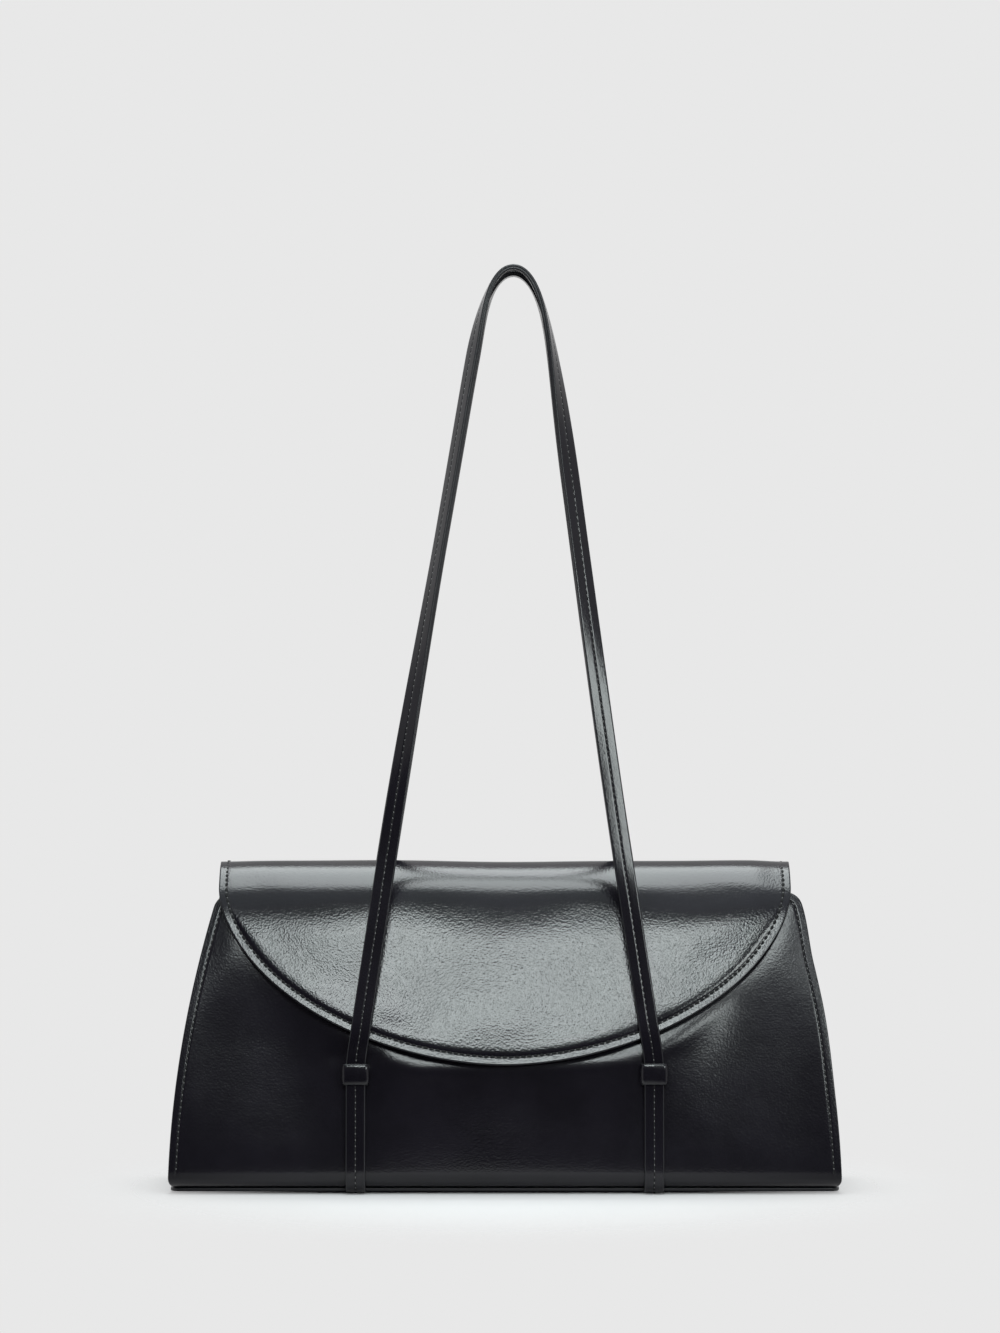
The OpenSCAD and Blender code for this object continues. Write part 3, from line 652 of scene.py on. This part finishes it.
levels = np.concatenate([[0.0029, 0.0038, 0.0052], np.linspace(0.0066, 0.0115, 6),
                         np.linspace(0.0145, 0.132, 44), np.linspace(0.1335, 0.1430, 9)])
s = np.sin(np.linspace(-1, 1, 61) * math.pi / 2)
for side, name in SIDES:
    outer, inner = [], []
    for level in levels:
        corner, y_edge, fold = web_line(level, s)
        middle, up = y_edge + GUSSET_T / 2, ramp(level, 0.02, 0.06)
        fold = fold + np.exp(-(np.abs(s) / 0.16)) * 0.0016 * up - 0.0008 * up
        web = np.stack([corner - fold - GUSSET_T / 2, -s * middle], axis=1)
        x_edge = edge_x(level, MOUTH_H) - 0.0004
        flange = np.stack([np.linspace(x_edge, corner, 9)[:-1], np.full(8, middle)], axis=1)
        line = np.concatenate([flange, web, (flange * [1, -1])[::-1]])
        for _ in range(3):
            line[1:-1] = line[1:-1] * 0.5 + (line[:-2] + line[2:]) * 0.25
        buckle = np.array([noise.noise(Vector((side * 3 + y * 28, level * 34, 1.7))) for _, y in line])
        buckle *= 0.0009 * smooth((corner + 0.001 - line[:, 0]) / 0.006) * ramp(level, 0.012, 0.02)
        for store, off in ((outer, GUSSET_T / 2), (inner, -GUSSET_T / 2)):
            flat = line - to_left(line) * (off + buckle[:, None])
            store.append(np.column_stack([side * flat[:, 0], flat[:, 1], np.full(len(flat), level)]))
    made = shell(name + "_gusset_leather", np.array(outer), np.array(inner), [calf, paint], 0.0003)
    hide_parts(name + "_gusset")
    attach(made, "bag_body")

# Lining and facing: the inside is lined in close-woven cotton, one length down the front, over the base
# and up the back, with a web at each side, a slip pocket behind and a band of leather along the mouth.

lining_cloth, tree, place = material("lining_cloth")
warp, weft = [tree.node("ShaderNodeTexWave", {"wave_type": "BANDS", "bands_direction": way},
                        {"Vector": place, "Scale": 620.0, "Distortion": 0.6}) for way in "XZ"]
weave = warp * weft + (1 - warp) * (1 - weft)
slub = place.noise(160.0, Detail=4.0)
finish_material(tree, {
    "Base Color": (weave * 0.6 + slub * 0.4).mix((0.022, 0.020, 0.021, 1), (0.062, 0.057, 0.058, 1)),
    "Roughness": 0.84 + slub * 0.1, "Sheen Weight": 0.25, "Normal": (weave + slub).bump(0.5, 0.00015)})

FACING_OUT, FACING_H = -PANEL_T - GLUE, 0.024
LINING_T, FACING_T = 0.0009, 0.0013
POCKET_LOW, POCKET_TOP, POCKET_HALF, POCKET_CORNER = 0.036, 0.110, 0.070, 0.005


def inside_x(z, top):
    """Half the width between the gussets, at a height."""
    board = BASE_W / 2 - FLANGE_W - 0.004 - 2 * GUSSET_T
    wall = half_w(z) - FLANGE_W - 2 * GUSSET_T - 0.0003 - TOP_R / 2 * smooth((z - top + TOP_R) / TOP_R)
    return np.where(z < ROLL_Z + ROLL_R / 2, board, wall)


def cloth_wave(x, z, seed):
    return np.array([[noise.noise(Vector((px * 21 + seed, pz * 34, seed * 2.3))) for px, pz in zip(rx, rz)]
                     for rx, rz in zip(x, z)])


outer, inner = [], []
for label, top, back in PANELS:
    rows = wall_rows(np.linspace(ROLL_START, top - FACING_H - 0.0002, 34), 8)
    x = np.outer(inside_x(rows[:, 1], BACK_H), np.linspace(-1, 1, 71))
    z = rows[:, 1][:, None] + 0 * x
    slack = 0.0005 * (1 + cloth_wave(x, z, 3.0 + back)) * ramp(z, 0.006, 0.01)
    slack = slack * smooth((inside_x(z, BACK_H) - np.abs(x)) / 0.02)
    if back:
        by_pocket = smooth((z - POCKET_LOW + 0.004) / 0.004) * smooth((POCKET_TOP + 0.004 - z) / 0.004)
        slack = slack * (1 - smooth(1 - (np.abs(x) - POCKET_HALF) / 0.006) * by_pocket)
    for store, off in ((outer, FACING_OUT - slack * 0.2), (inner, FACING_OUT - LINING_T - slack)):
        store.append(along_wall(x, rows, off, back)[::1 if back else -1])
made = shell("body_lining_cloth", np.concatenate(outer), np.concatenate(inner), [lining_cloth], 0.0002)
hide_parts("body_lining")
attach(made, "bag_body")

for label, top, back in PANELS:
    low = top - FACING_H
    rows = wall_rows(np.concatenate([np.linspace(low, top - 0.004, 16),
                                     top - np.array([3.2, 2.4, 1.6, 0.9, 0.3]) / 1000]))
    x = np.outer(inside_x(rows[:, 1], top), np.linspace(-1, 1, 71))
    near = np.minimum(rows[:, 1][:, None] - top + FACING_H, 0.004) + 0 * x
    outer = along_wall(x, rows, FACING_OUT - FACING_T + 0.0002 * hump(near, 0.0025, 0.0004), back)
    inner = along_wall(x, rows, FACING_OUT, back)
    made = shell(label + "_facing_leather", outer, inner, [calf, paint], 0.00025)
    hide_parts(label + "_facing")
    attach(made, "bag_body")
    half = float(inside_x(np.array(top - 0.02), top)) - 0.003
    points, ups = on_panel([(px, low + 0.0025) for px in np.linspace(-1, 1, 90) * half], back)
    for piece in sew(label + "_facing_seam", [(points - ups * 0.00355, -ups)]):
        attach(piece, "bag_body")

s = np.linspace(-0.83, 0.83, 33)
for side, name in SIDES:
    outer, inner = [], []
    for level in np.linspace(0.0066, 0.1404, 40):
        corner, y_edge, fold = web_line(level, s)
        line_x = corner - fold - GUSSET_T - 0.0012
        for store, off in ((inner, 0.0), (outer, LINING_T)):
            store.append(np.column_stack([side * (line_x - off), -s * y_edge, np.full(len(s), level)]))
    made = shell(name + "_side_lining", np.array(outer), np.array(inner), [lining_cloth], 0.0002)
    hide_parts(name + "_lining")
    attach(made, "bag_body")

rows = wall_rows(np.concatenate([POCKET_LOW + np.array([0, 0.4, 1.2, 2.4, 4, 5]) / 1000,
                                 np.linspace(POCKET_LOW + 0.008, POCKET_TOP, 26)]))
near = np.clip((rows[:, 1] - POCKET_LOW) / POCKET_CORNER, 0, 1)
half = POCKET_HALF - POCKET_CORNER + POCKET_CORNER * np.sqrt(1 - (1 - near) ** 2)
x = np.outer(half, np.linspace(-1, 1, 49))
slack = 0.0016 * ramp(rows[:, 1][:, None], 0.07, 0.04) * np.cos(np.pi * x / (2 * POCKET_HALF))
outer, inner = [along_wall(x, rows, FACING_OUT - LINING_T - off - slack, True) for off in (0.0013, 0.0003)]
pocket = shell("slip_pocket_cloth", outer, inner, [lining_cloth], 0.0003)
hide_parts("slip_pocket")
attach(pocket, "bag_body")

# Flap: one piece of calf runs from the back panel over the mouth and down the front to a crescent
# edge. It is filled with thin foam inside a flat stitched rim, which gives the face its swell.

FLAP_W, FLAP_GAP, TURN_R, TAIL_H, TAIL_R = 0.2830, 0.0008, 0.004, 0.018, 0.006
FLAP_TOP, RIM_W, SKIRT_END = 0.1584, 0.0038, 0.172
FLAP_FULL, FLAP_THIN, FLAP_LINING_T = 0.0036, 0.0015, 0.0010


def flap_rows():
    """The flap's run as rows of (place, y, z, outward angle, fullness): up the front panel, round
    the top and down to the sewn end. The place is the height on the panel, and goes on past it."""
    rows = [(z, *off_front(z, FLAP_GAP), lean(z), 1.0) for z in np.linspace(0.055, FOLD_START, 60)]
    # The fold turns through these angles, a few millimetres apart.
    lengths = np.cumsum([0, 2.3, 5.0, 4.9, 4.9, 5.0, 5.3, 5.5, 7.4, 10.2]) / 1000
    angles = np.radians([18.0, 18.5, 19.7, 21.6, 24.3, 28.4, 36.5, 48.5, 65.0, 90.0])
    fine = np.linspace(0, 1, 90)
    turn = np.interp(fine * lengths[-1], lengths, angles)
    turn[4:-4] = np.convolve(turn, np.ones(9) / 9, mode="valid")
    rise, ahead = summed(np.cos(turn), fine), summed(np.sin(turn), fine)
    place, y, z, _, _ = rows[-1]
    length = (FLAP_TOP - z) / rise[-1]
    rows += [(place + length * t, y + length * h, z + length * r, a, 1.0)
             for t, h, r, a in zip(fine[1:], ahead[1:], rise[1:], turn[1:])]
    thin_from = place + length * 0.86
    turn_lean = lean(BACK_H)
    turn_z = FLAP_TOP - TURN_R
    turn_y = -front_y(turn_z) + GLUE / math.cos(turn_lean) - TURN_R * math.cos(turn_lean)
    place = rows[-1][0]
    flat = max(turn_y - rows[-1][1], 0.0004)
    for a in np.linspace(math.pi / 2, math.pi - turn_lean, 13):
        rows.append((place + flat + TURN_R * (a - math.pi / 2), turn_y - TURN_R * math.cos(a),
                     turn_z + TURN_R * math.sin(a), a, 1.0))
    place, top = rows[-1][0], rows[-1][2]
    for z in np.linspace(top - 0.001, BACK_H - TAIL_H, 40):
        b, (y, up) = lean(z), off_front(z, GLUE)
        rows.append((place + (top - z) / math.cos(b), -y, up, math.pi - b, 1.0))
    rows = np.array(rows)
    thin_to = place - TURN_R * 1.4
    rows[:, 4] = 1 - ramp(rows[:, 0], thin_from, thin_to - thin_from)
    return rows


flap_run = flap_rows()
FLAP_END = float(flap_run[-1, 0])


def flap_at(place):
    """(y, z, outward angle, fullness) of the flap's run at places along it."""
    return [np.interp(place, flap_run[:, 0], flap_run[:, k]) for k in (1, 2, 3, 4)]


def stand_off(x, place):
    """The filled flap stays straight where the panel falls away, and the straps hold it a little closer."""
    strap = hump(np.abs(x), STRAP_X, 0.012) * smooth((0.098 - place) / 0.016)
    return straight_run(place) * (1 - 0.08 * strap)


rim_in = np.array([0.4, 0.8, 1.5, 2.3, 2.9, 3.3, 3.6, 3.85, 4.1, 4.4, 4.75, 5.15, 5.6, 6.2, 7.1, 8.3, 10.0,
                   12.2]) / 1000
bend = np.pi * np.linspace(0, 1, 400)
crescent = np.stack([-FLAP_W / 2 * np.sign(np.cos(bend)) * np.abs(np.cos(bend)) ** (2 / CRESCENT),
                     FLAP_SIDE_Z - FLAP_DROP * np.sin(bend) ** (2 / CRESCENT)], axis=1)
DOWN_AND_UP = ((0, -1), (0, 1))


def flap_grid():
    """Places (x, height) of the flap's points below its widest line: ring by place along the edge."""
    edge = even(crescent, 221)
    rings = [edge + to_left(edge, DOWN_AND_UP) * d for d in rim_in]
    inner = rings[-1]
    top = np.stack([(FLAP_W / 2 - 0.0175) * np.linspace(-1, 1, len(edge)), np.full(len(edge), FLAP_SIDE_Z)],
                   axis=1)
    return np.array(rings + [inner * (1 - t) + top * t for t in np.linspace(0, 1, 27)[1:] ** 0.9])


def rim_height(place, full):
    """Height of the stitched rim over the flap's run. It is flattest along the crescent."""
    return (0.0029 + 0.0006 * ramp(place, FOLD_START, 0.022)) * full + FLAP_THIN * (1 - full)


def flap_offsets(d, full, x, place):
    """Height of the flap's outer face over its run, at a distance d from its edge."""
    rim = rim_height(place, full)
    body = FLAP_FULL * full + FLAP_THIN * (1 - full)
    swell = 1 - np.exp(-np.maximum(d - RIM_W - 0.0005, 0) / 0.0015)
    crown = 0.0003 * full * ramp(d, 0.005, 0.03)
    groove = 0.00005 * hump(d, RIM_W, 0.00035)
    uneven = 0.00045 * np.sin(31 * x + 1.1) * np.cos(38 * (place - 0.09))
    uneven = uneven + 0.00020 * np.sin(67 * x - 45 * place)
    crest = 0.0007 * hump(x, 0.042, 0.024) + 0.0003 * np.sin(26 * x + 2.6) - 0.0005 * hump(x, 0.105, 0.022)
    uneven = uneven + hump(place, 0.1465, 0.0085) * crest
    return rim + (body - rim) * swell + crown - groove + uneven * full * ramp(d, 0.004, 0.016)


def flap_points(x, place, off):
    """Points of the flap at a height over its run, its layers pressed together over the mouth."""
    y, z, a, _ = flap_at(place)
    press_in = 0.0016 * hump(place, 0.1445, 0.0085)
    off = off + press_in * np.clip(1 - off / FLAP_FULL, 0, 1) + stand_off(x, place)
    return np.stack([x, y - off * np.cos(a), z + off * np.sin(a)], axis=-1)


def flap_layer(name, outer_height, inner_height, finishes, bulge, steps, shrink=0.0, end=FLAP_END):
    """One layer of the flap: a grid that follows the crescent, and one that goes on over the top."""
    front = flap_grid()
    rings, count = front.shape[:2]
    line = even(crescent, 300)
    tall = np.concatenate([line[:1] + [[0, 0.05]], line, line[-1:] + [[0, 0.05]]])
    d0 = distance_to(tall, front[..., 0], front[..., 1])
    pull = np.clip(1 - d0 / 0.012, 0, 1) * shrink
    front = front + np.array([to_left(ring, DOWN_AND_UP) for ring in front]) * pull[..., None]
    x0, s0 = front[..., 0], front[..., 1]
    n = np.arange(rings * count).reshape(rings, count)
    seam = np.concatenate([n[:, 0], n[-1, 1:-1], n[::-1, -1]])
    seam_x = x0.reshape(-1)[seam]
    to_end = np.array([7.2, 6.4, 5.8, 5.2, 4.6, 4.1, 3.7, 3.4, 3.1, 2.7, 2.1, 1.4, 0.8, 0.35, 0]) / 1000
    over = np.concatenate([np.linspace(FLAP_SIDE_Z, SKIRT_END, 22)[1:],
                           np.linspace(SKIRT_END, end - 0.0085, 26)[1:], end - to_end])
    low = np.clip(over - (FLAP_END - TAIL_R), 0, TAIL_R)[:, None]
    half = FLAP_W / 2 - shrink - TAIL_R + np.sqrt(np.maximum(0, TAIL_R ** 2 - low ** 2))
    x1 = np.sign(seam_x)[None, :] * np.maximum(half - (FLAP_W / 2 - shrink - np.abs(seam_x))[None, :], 0)
    s1 = over[:, None] + 0 * x1
    d1 = np.minimum(half - np.abs(x1) + shrink, np.maximum(FLAP_END - s1, 0))
    m = np.concatenate([seam[None, :], rings * count + np.arange(x1.size).reshape(x1.shape)])
    faces = np.concatenate([squares(n), squares(m)[:, ::-1]])
    x, place, d = [np.concatenate([p.ravel(), q.ravel()]) for p, q in ((x0, x1), (s0, s1), (d0, d1))]
    full = flap_at(place)[3]
    outer = flap_points(x, place, outer_height(d, full, x, place))
    inner = flap_points(x, place, inner_height * full)
    rim = np.concatenate([n[0, :], m[1:, -1], m[-1, :-1][::-1], m[1:-1, 0][::-1]])
    return shell(name, outer, inner, finishes, bulge, steps, (faces, rim))


flap = flap_layer("flap_leather_and_filler", flap_offsets, FLAP_LINING_T + GLUE, [calf, paint], 0.0004, 6)
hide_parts("flap_leather", "flap_filler", "flap_sewn_end")
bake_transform(flap)

# The flap's seam runs round it inside the edge, and sinks a little over the fold.
edge = even(crescent, 260)
line = edge + to_left(edge, DOWN_AND_UP) * RIM_W
sides = np.linspace(FLAP_END - 0.007, FLAP_SIDE_Z, 70)[:-1]
half = FLAP_W / 2 - RIM_W
x = np.concatenate([np.full(len(sides), -half), line[:, 0], np.full(len(sides), half)])
place = np.concatenate([sides, line[:, 1], sides[::-1]])
_, _, a, full = flap_at(place)
points = flap_points(x, place, rim_height(place, full) - 0.0004 * hump(a, math.pi / 2, 0.6))
ups = np.stack([0 * a, -np.cos(a), np.sin(a)], axis=1)
for piece in sew("flap_seam", [(points, ups)], length=0.0008, width=0.0006, slant=0.2,
                 hole_shade_size=(0.0025, 0.0017)):
    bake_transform(piece)

# The sewn end is fixed to the back panel with one straight row.
seam_z = BACK_H - TAIL_H + RIM_W
y, z = off_front(seam_z, FLAP_THIN - GLUE)
x = np.linspace(-1, 1, 90) * (FLAP_W / 2 - 0.005)
points = np.stack([x, 0 * x - y, 0 * x + z], axis=1)
ups = np.tile([0, math.cos(lean(seam_z)), math.sin(lean(seam_z))], (len(x), 1))
for piece in sew("sewn_end_seam", [(points, ups)]):
    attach(piece, "bag_body")

LINING_END, LINING_IN = 0.176, 0.0012
lining = flap_layer("flap_lining_cloth", lambda d, full, x, place: FLAP_LINING_T * full, 0.0,
                    [lining_cloth], 0.0002, 4, LINING_IN, LINING_END)
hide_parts("flap_lining")
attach(lining, "flap")

# Straps: each strap is two layers of calf, sewn together along the middle, with painted edges. The
# lower straps run down from the keepers and are pared thin under the base.

STRAP_W, STRAP_T, UNDER_T, STRAP_IN, SEAM_IN = 0.0096, 0.0028, 0.0008, 0.0003, 0.00018
calf_strap = leather("strap_leather", 0.18, 1.1)


def strap_section(thick):
    """A strap's outline for a thickness: places (across, up) on its face and an edge, twice over."""
    half, k, thin = STRAP_W / 2, thick / 2, min(1, thick / STRAP_T)
    across = np.array([0.18, 0.36, 0.62, 1.1, 2.0, 3.0, 3.9, 4.25]) / 1000
    across = np.concatenate([-across[::-1], [0], across])
    dome = 0.00008 * (1 - (across / 0.0045) ** 2) - 0.00014 * hump(across, 0, 0.00034) - 0.00008
    face = np.stack([across, k + dome * thin], axis=1)
    side = np.array([(half - 0.00018, k - 0.00022 * thin), (half, k * 0.62), (half - 0.00002, k * 0.22),
                     (half - 0.00016, 0.0), (half - 0.00002, -k * 0.22), (half, -k * 0.62),
                     (half - 0.00018, -k + 0.00022 * thin)])
    top = np.concatenate([face, side])
    return np.concatenate([top, -top])


def ribbon(name, centre, wide, up, thick):
    """A strap along a run of centres, with its width and face directions and its thickness at each."""
    loops = []
    for c, w, u, t in zip(centre, wide, up, thick):
        section = strap_section(t)
        loops.append(c + section[:, :1] * w + section[:, 1:] * u)
    count, around = len(loops), len(loops[0])
    n = np.arange(count * around).reshape(count, around)
    sides = squares(np.column_stack([n, n[:, 0]]))
    index = [0 if j < 16 or 24 <= j < 40 else 1 for j in range(around)] * (count - 1) + [1, 1]
    return close_up(name, np.concatenate(loops), sides.tolist() + [n[0].tolist(), n[-1, ::-1].tolist()],
                    [calf_strap, paint], index)


def base_strap_run(x, back):
    """Outer and inner edges (y, z) of half a lower strap, from a keeper to under the base."""
    bend_y = ROLL_Y - (ROLL_R + STRAP_IN + STRAP_T - ROLL_Z)
    outer, inner = [(0.0, 0.0)], [(0.0, UNDER_T)]
    for y in np.linspace(-0.010, -0.0335, 6):
        outer.append((y, 0.0))
        inner.append((y, UNDER_T))
    for a in np.linspace(-math.pi / 2, ROLL_LEAN, 16):
        outer.append((bend_y - ROLL_Z * math.cos(a), ROLL_Z + ROLL_Z * math.sin(a)))
        r = ROLL_R + STRAP_IN
        iy, iz = ROLL_Y - r * math.cos(a), ROLL_Z + r * math.sin(a)
        if iy > -BASE_D / 2 + 0.0066:
            iy, iz = -BASE_D / 2 + 0.0062, UNDER_T
        inner.append((iy, iz))
    for z in np.linspace(ROLL_START + 0.003, 0.0572, 16):
        for store, off in ((outer, STRAP_IN + STRAP_T), (inner, STRAP_IN)):
            store.append(off_front(z, off + (0 if back else belly(x, z))))
    return np.column_stack([outer, inner])


for side, name in SIDES:
    x = side * STRAP_X
    front, behind = base_strap_run(x, False), base_strap_run(x, True) * [-1, 1, -1, 1]
    both = even(np.concatenate([front[::-1], behind[1:]]), 150)
    outer, inner = both[:, :2], both[:, 2:]
    thick = np.linalg.norm(outer - inner, axis=1)
    centre = np.column_stack([np.full(len(both), x), (outer + inner) / 2])
    ups = np.column_stack([np.zeros(len(both)), (outer - inner) / thick[:, None]])
    made = ribbon(name + "_lower_strap", centre, np.tile([1.0, 0, 0], (len(both), 1)), ups, thick)
    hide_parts(name + "_base_strap")
    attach(made, "bag_body")
    seam = centre + ups * (thick[:, None] / 2 - SEAM_IN)
    for piece in sew(name + "_lower_strap_seam", [(seam[3:-3], ups[3:-3])], slant=0.1):
        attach(piece, "bag_body")

# Keepers: a band of calf stands over each strap. Its ends go through slits in the panel and are sewn
# behind it, which puckers the leather beside it a little.

KEEPER_H, KEEPER_T, KEEPER_GAP = 0.010, 0.0017, 0.0003
half, reach = STRAP_W / 2 + KEEPER_GAP, STRAP_IN + STRAP_T + KEEPER_GAP
corner_r = KEEPER_T / 2 + 0.0003
line = [(-half - KEEPER_T / 2, -0.0008), (-half - KEEPER_T / 2, reach - 0.0012)]
line += [(-half + 0.0003 - corner_r * math.cos(a), reach - 0.0003 + corner_r * math.sin(a))
         for a in np.linspace(0, math.pi / 2, 7)]
line = even(np.array(line + [(0.0, reach + KEEPER_T / 2 + 0.00025)] + [(-p, q) for p, q in line[::-1]]), 61)
z_mid = KEEPER_TOP - KEEPER_H / 2 + 0.0003
for (side, side_name), (label, _, back) in [(side, panel) for side in SIDES for panel in PANELS]:
    name, x = label + "_" + side_name, side * STRAP_X
    # Rows across the band, close together near both cut edges.
    outer, inner = [], []
    for h in np.array([-5, -4.7, -4.2, -3.4, -2, 0, 2, 3.4, 4.2, 4.7, 5]) / 1000 * 0.94:
        pinch = 0.0008 * (abs(h) / 0.005) ** 4
        place = z_mid + h * math.cos(lean(z_mid))
        for store, off in ((outer, KEEPER_T / 2 - pinch), (inner, -KEEPER_T / 2)):
            p = line + to_left(line) * off
            y, z = off_front(place, p[:, 1] + (0 if back else belly(x, place)))
            store.append(np.column_stack([x + p[:, 0], -y if back else y, z]))
    made = shell(name + "_keeper_band", np.array(outer), np.array(inner), [calf_strap, paint], 0.00025)
    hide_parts(name + "_keeper")
    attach(made, "bag_body")

# Handles: two long straps rise from the keepers and meet over the bag. Each faces front at the bag and
# turns edge on as it climbs, so that the two nest side by side in one narrow loop.

SWING_Z = KEEPER_TOP + 0.0015
FOOT_Y, FOOT_Z = off_front(SWING_Z, STRAP_IN + STRAP_T / 2)
TOP_Z = 0.4575 - STRAP_T / 2
RISE = TOP_Z - FOOT_Z
CROWN_HALF, CROWN_REACH, SWAY, NEST = 0.0136, 0.0125, 0.0042, 0.0022
CROWN_Y = -(STRAP_W + 0.0016) / 2
OVER_Z = 0.0772
OVER_Y = off_front(OVER_Z, 0.0072 + STRAP_T / 2)[0] - 0.0003
EYE_Y = 2.29


def handle_place(side, h, front):
    """A handle's centre, at a depth h under its top. The front one leans over the flap's edge first."""
    z = TOP_Z - h
    half = (CROWN_HALF + (STRAP_X - CROWN_HALF) / RISE * h) * math.sqrt(1 - math.exp(-h / CROWN_REACH))
    x = side * half + SWAY * smooth(1 - h / (TOP_Z - 0.1585))
    if not front:
        y = FOOT_Y + (CROWN_Y - FOOT_Y) * (z - FOOT_Z) / RISE
    elif z < OVER_Z:
        t = max((z - FOOT_Z) / (OVER_Z - FOOT_Z), 0)
        foot = FOOT_Y - belly(side * STRAP_X, SWING_Z)
        y = foot + (OVER_Y - foot) * (0.5 * t + 0.5 * smooth(t))
    else:
        y = OVER_Y + (CROWN_Y - OVER_Y) * (1 - max(0, 1 - (z - OVER_Z) / (TOP_Z - OVER_Z)) ** 1.5)
    return np.array([x, y, z])


def handle_twist(side, h):
    """How far a handle has turned from facing front, at a depth under its top: 90 degrees there, and
    back to 0 at the bag by turns of (degrees, depth where it starts, reach)."""
    left = ((30, 0, RISE / 9), (60, RISE / 3, RISE / 2))
    right = ((58, 0, RISE * 2 / 7), (22, RISE * 0.26, 0.150), (10, 0.285, 0.042))
    turns = right if side > 0 else left
    return math.radians(90 - sum(turn * ramp(h, start, reach) for turn, start, reach in turns))


def handle_run(front):
    """Centres, widths and faces along a whole handle, from inside one keeper to inside the other."""
    places, twists, last_h = [], [], RISE - 0.004
    for side in (-1, 1):
        hs = last_h * np.linspace(1, 0, 240) ** 2.2
        half = [(handle_place(side, h, front), handle_twist(side, h)) for h in hs]
        foot = []
        for z in np.linspace(0.0574, 0.0655, 6):
            off = STRAP_IN + STRAP_T / 2 + (belly(side * STRAP_X, z) if front else 0)
            foot.append((np.array([side * STRAP_X, *off_front(z, off)]), 0.0))
        half = foot + half
        if side > 0:
            half = half[::-1][1:]
        places += [p for p, _ in half]
        twists += [t for _, t in half]
    path = np.column_stack([places, twists])
    run = lengths_along(path[:, :3])
    at = np.linspace(0, run[-1], 640)
    path = np.column_stack([np.interp(at, run, path[:, k]) for k in range(4)] + [at])
    low = np.minimum(path[:, 4], run[-1] - path[:, 4])
    for _ in range(22):
        soft = path.copy()
        soft[1:-1] = path[1:-1] * 0.5 + (path[:-2] + path[2:]) * 0.25
        path = np.where((low < 0.045)[:, None], soft, path)
    centre, a = path[:, :3], path[:, 3][:, None]
    run = unit(np.gradient(centre, axis=0))
    forward = unit(np.array([0, -1.0, 0]) + run * run[:, 1:2])
    up = np.cos(a) * forward + np.sin(a) * np.cross(forward, run)
    return centre, np.cross(up, run), up


def handle(name, front, nodes):
    centre, wide, up = handle_run(front)
    # The back handle is turned round, nests a little lower, and is as much wider as it is farther off.
    if not front:
        rise = ramp(centre[:, 2], 0.10, TOP_Z - 0.10)
        wider = 1 + np.clip(-2 * centre[:, 1] / EYE_Y, 0, 1) * ramp(centre[:, 2], 0.09, 0.05)
        centre = centre * np.stack([wider, 1 + 0 * wider, 1 + 0 * wider], axis=1)
        centre = centre * [1, -1, 1] - np.outer(rise, [0, 0, NEST])
        wide, up = wide * [1, -1, 1], up * [1, -1, 1]
    made = ribbon(name + "_strap", centre, wide, up, np.full(len(centre), STRAP_T))
    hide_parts(*nodes)
    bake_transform(made)
    lines = [(centre[6:-6] + face * (STRAP_T / 2 - SEAM_IN), face) for face in (up[6:-6], -up[6:-6])]
    for piece in sew(name + "_seam", lines, slant=0.1):
        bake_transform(piece)


handle("front_handle", True,
       ["front_handle_face", "front_handle_lining", "front_left_leg", "front_right_leg"])
handle("back_handle", False, ["back_handle_face", "back_handle_lining"])

# Hidden parts: a grey board stiffens the base, and two flat plated magnets hold the flap. One is glued
# behind the flap's lining, the other in the front panel.

board_card = mottled("base_card", scale=260.0, detail=6.0, dark=(0.27, 0.25, 0.22),
                     light=(0.40, 0.37, 0.33), rough=0.85, vary=0.1, relief=(0.3, 0.0002))
plated = mottled("magnet_steel", scale=500.0, detail=4.0, dark=(0.5, 0.5, 0.52), light=(0.66, 0.66, 0.68),
                 rough=0.25, vary=0.2, Metallic=1.0)
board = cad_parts["base_board"]
board.data.materials.clear()
board.data.materials.append(board_card)

MAGNET_Z, MAGNET_R, MAGNET_EDGE, MAGNET_TILT = 0.088, 0.008, 0.0003, math.radians(19.4)


def magnet(name, low, high, body):
    """A flat disc with broken edges, standing between two heights over the front panel's pattern."""
    r, cut, verts = MAGNET_R, MAGNET_EDGE, []
    for reach, up in ((r - cut, low), (r, low + cut), (r, high - cut), (r - cut, high)):
        y, z = off_front(MAGNET_Z, up)
        for t in np.linspace(0, 2 * math.pi, 41)[:-1]:
            x, rise = reach * math.cos(t), reach * math.sin(t)
            verts.append((x, y + rise * math.sin(MAGNET_TILT), z + rise * math.cos(MAGNET_TILT)))
    n = np.arange(160).reshape(4, 40)
    faces = [n[0].tolist(), n[-1, ::-1].tolist()] + squares(np.column_stack([n, n[:, 0]])).tolist()
    made = close_up(name + "_disc", verts, faces, [plated])
    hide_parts(name)
    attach(made, body)


panel_face = float(belly(0.0, MAGNET_Z) - hollow(0.0, MAGNET_Z) - press(0.0, MAGNET_Z))
flap_back = straight_run(MAGNET_Z) + FLAP_GAP
magnet("panel_magnet", panel_face - 0.0017, panel_face - 0.0006, "bag_body")
magnet("flap_magnet", flap_back + 0.0013, flap_back + 0.0025, "flap")
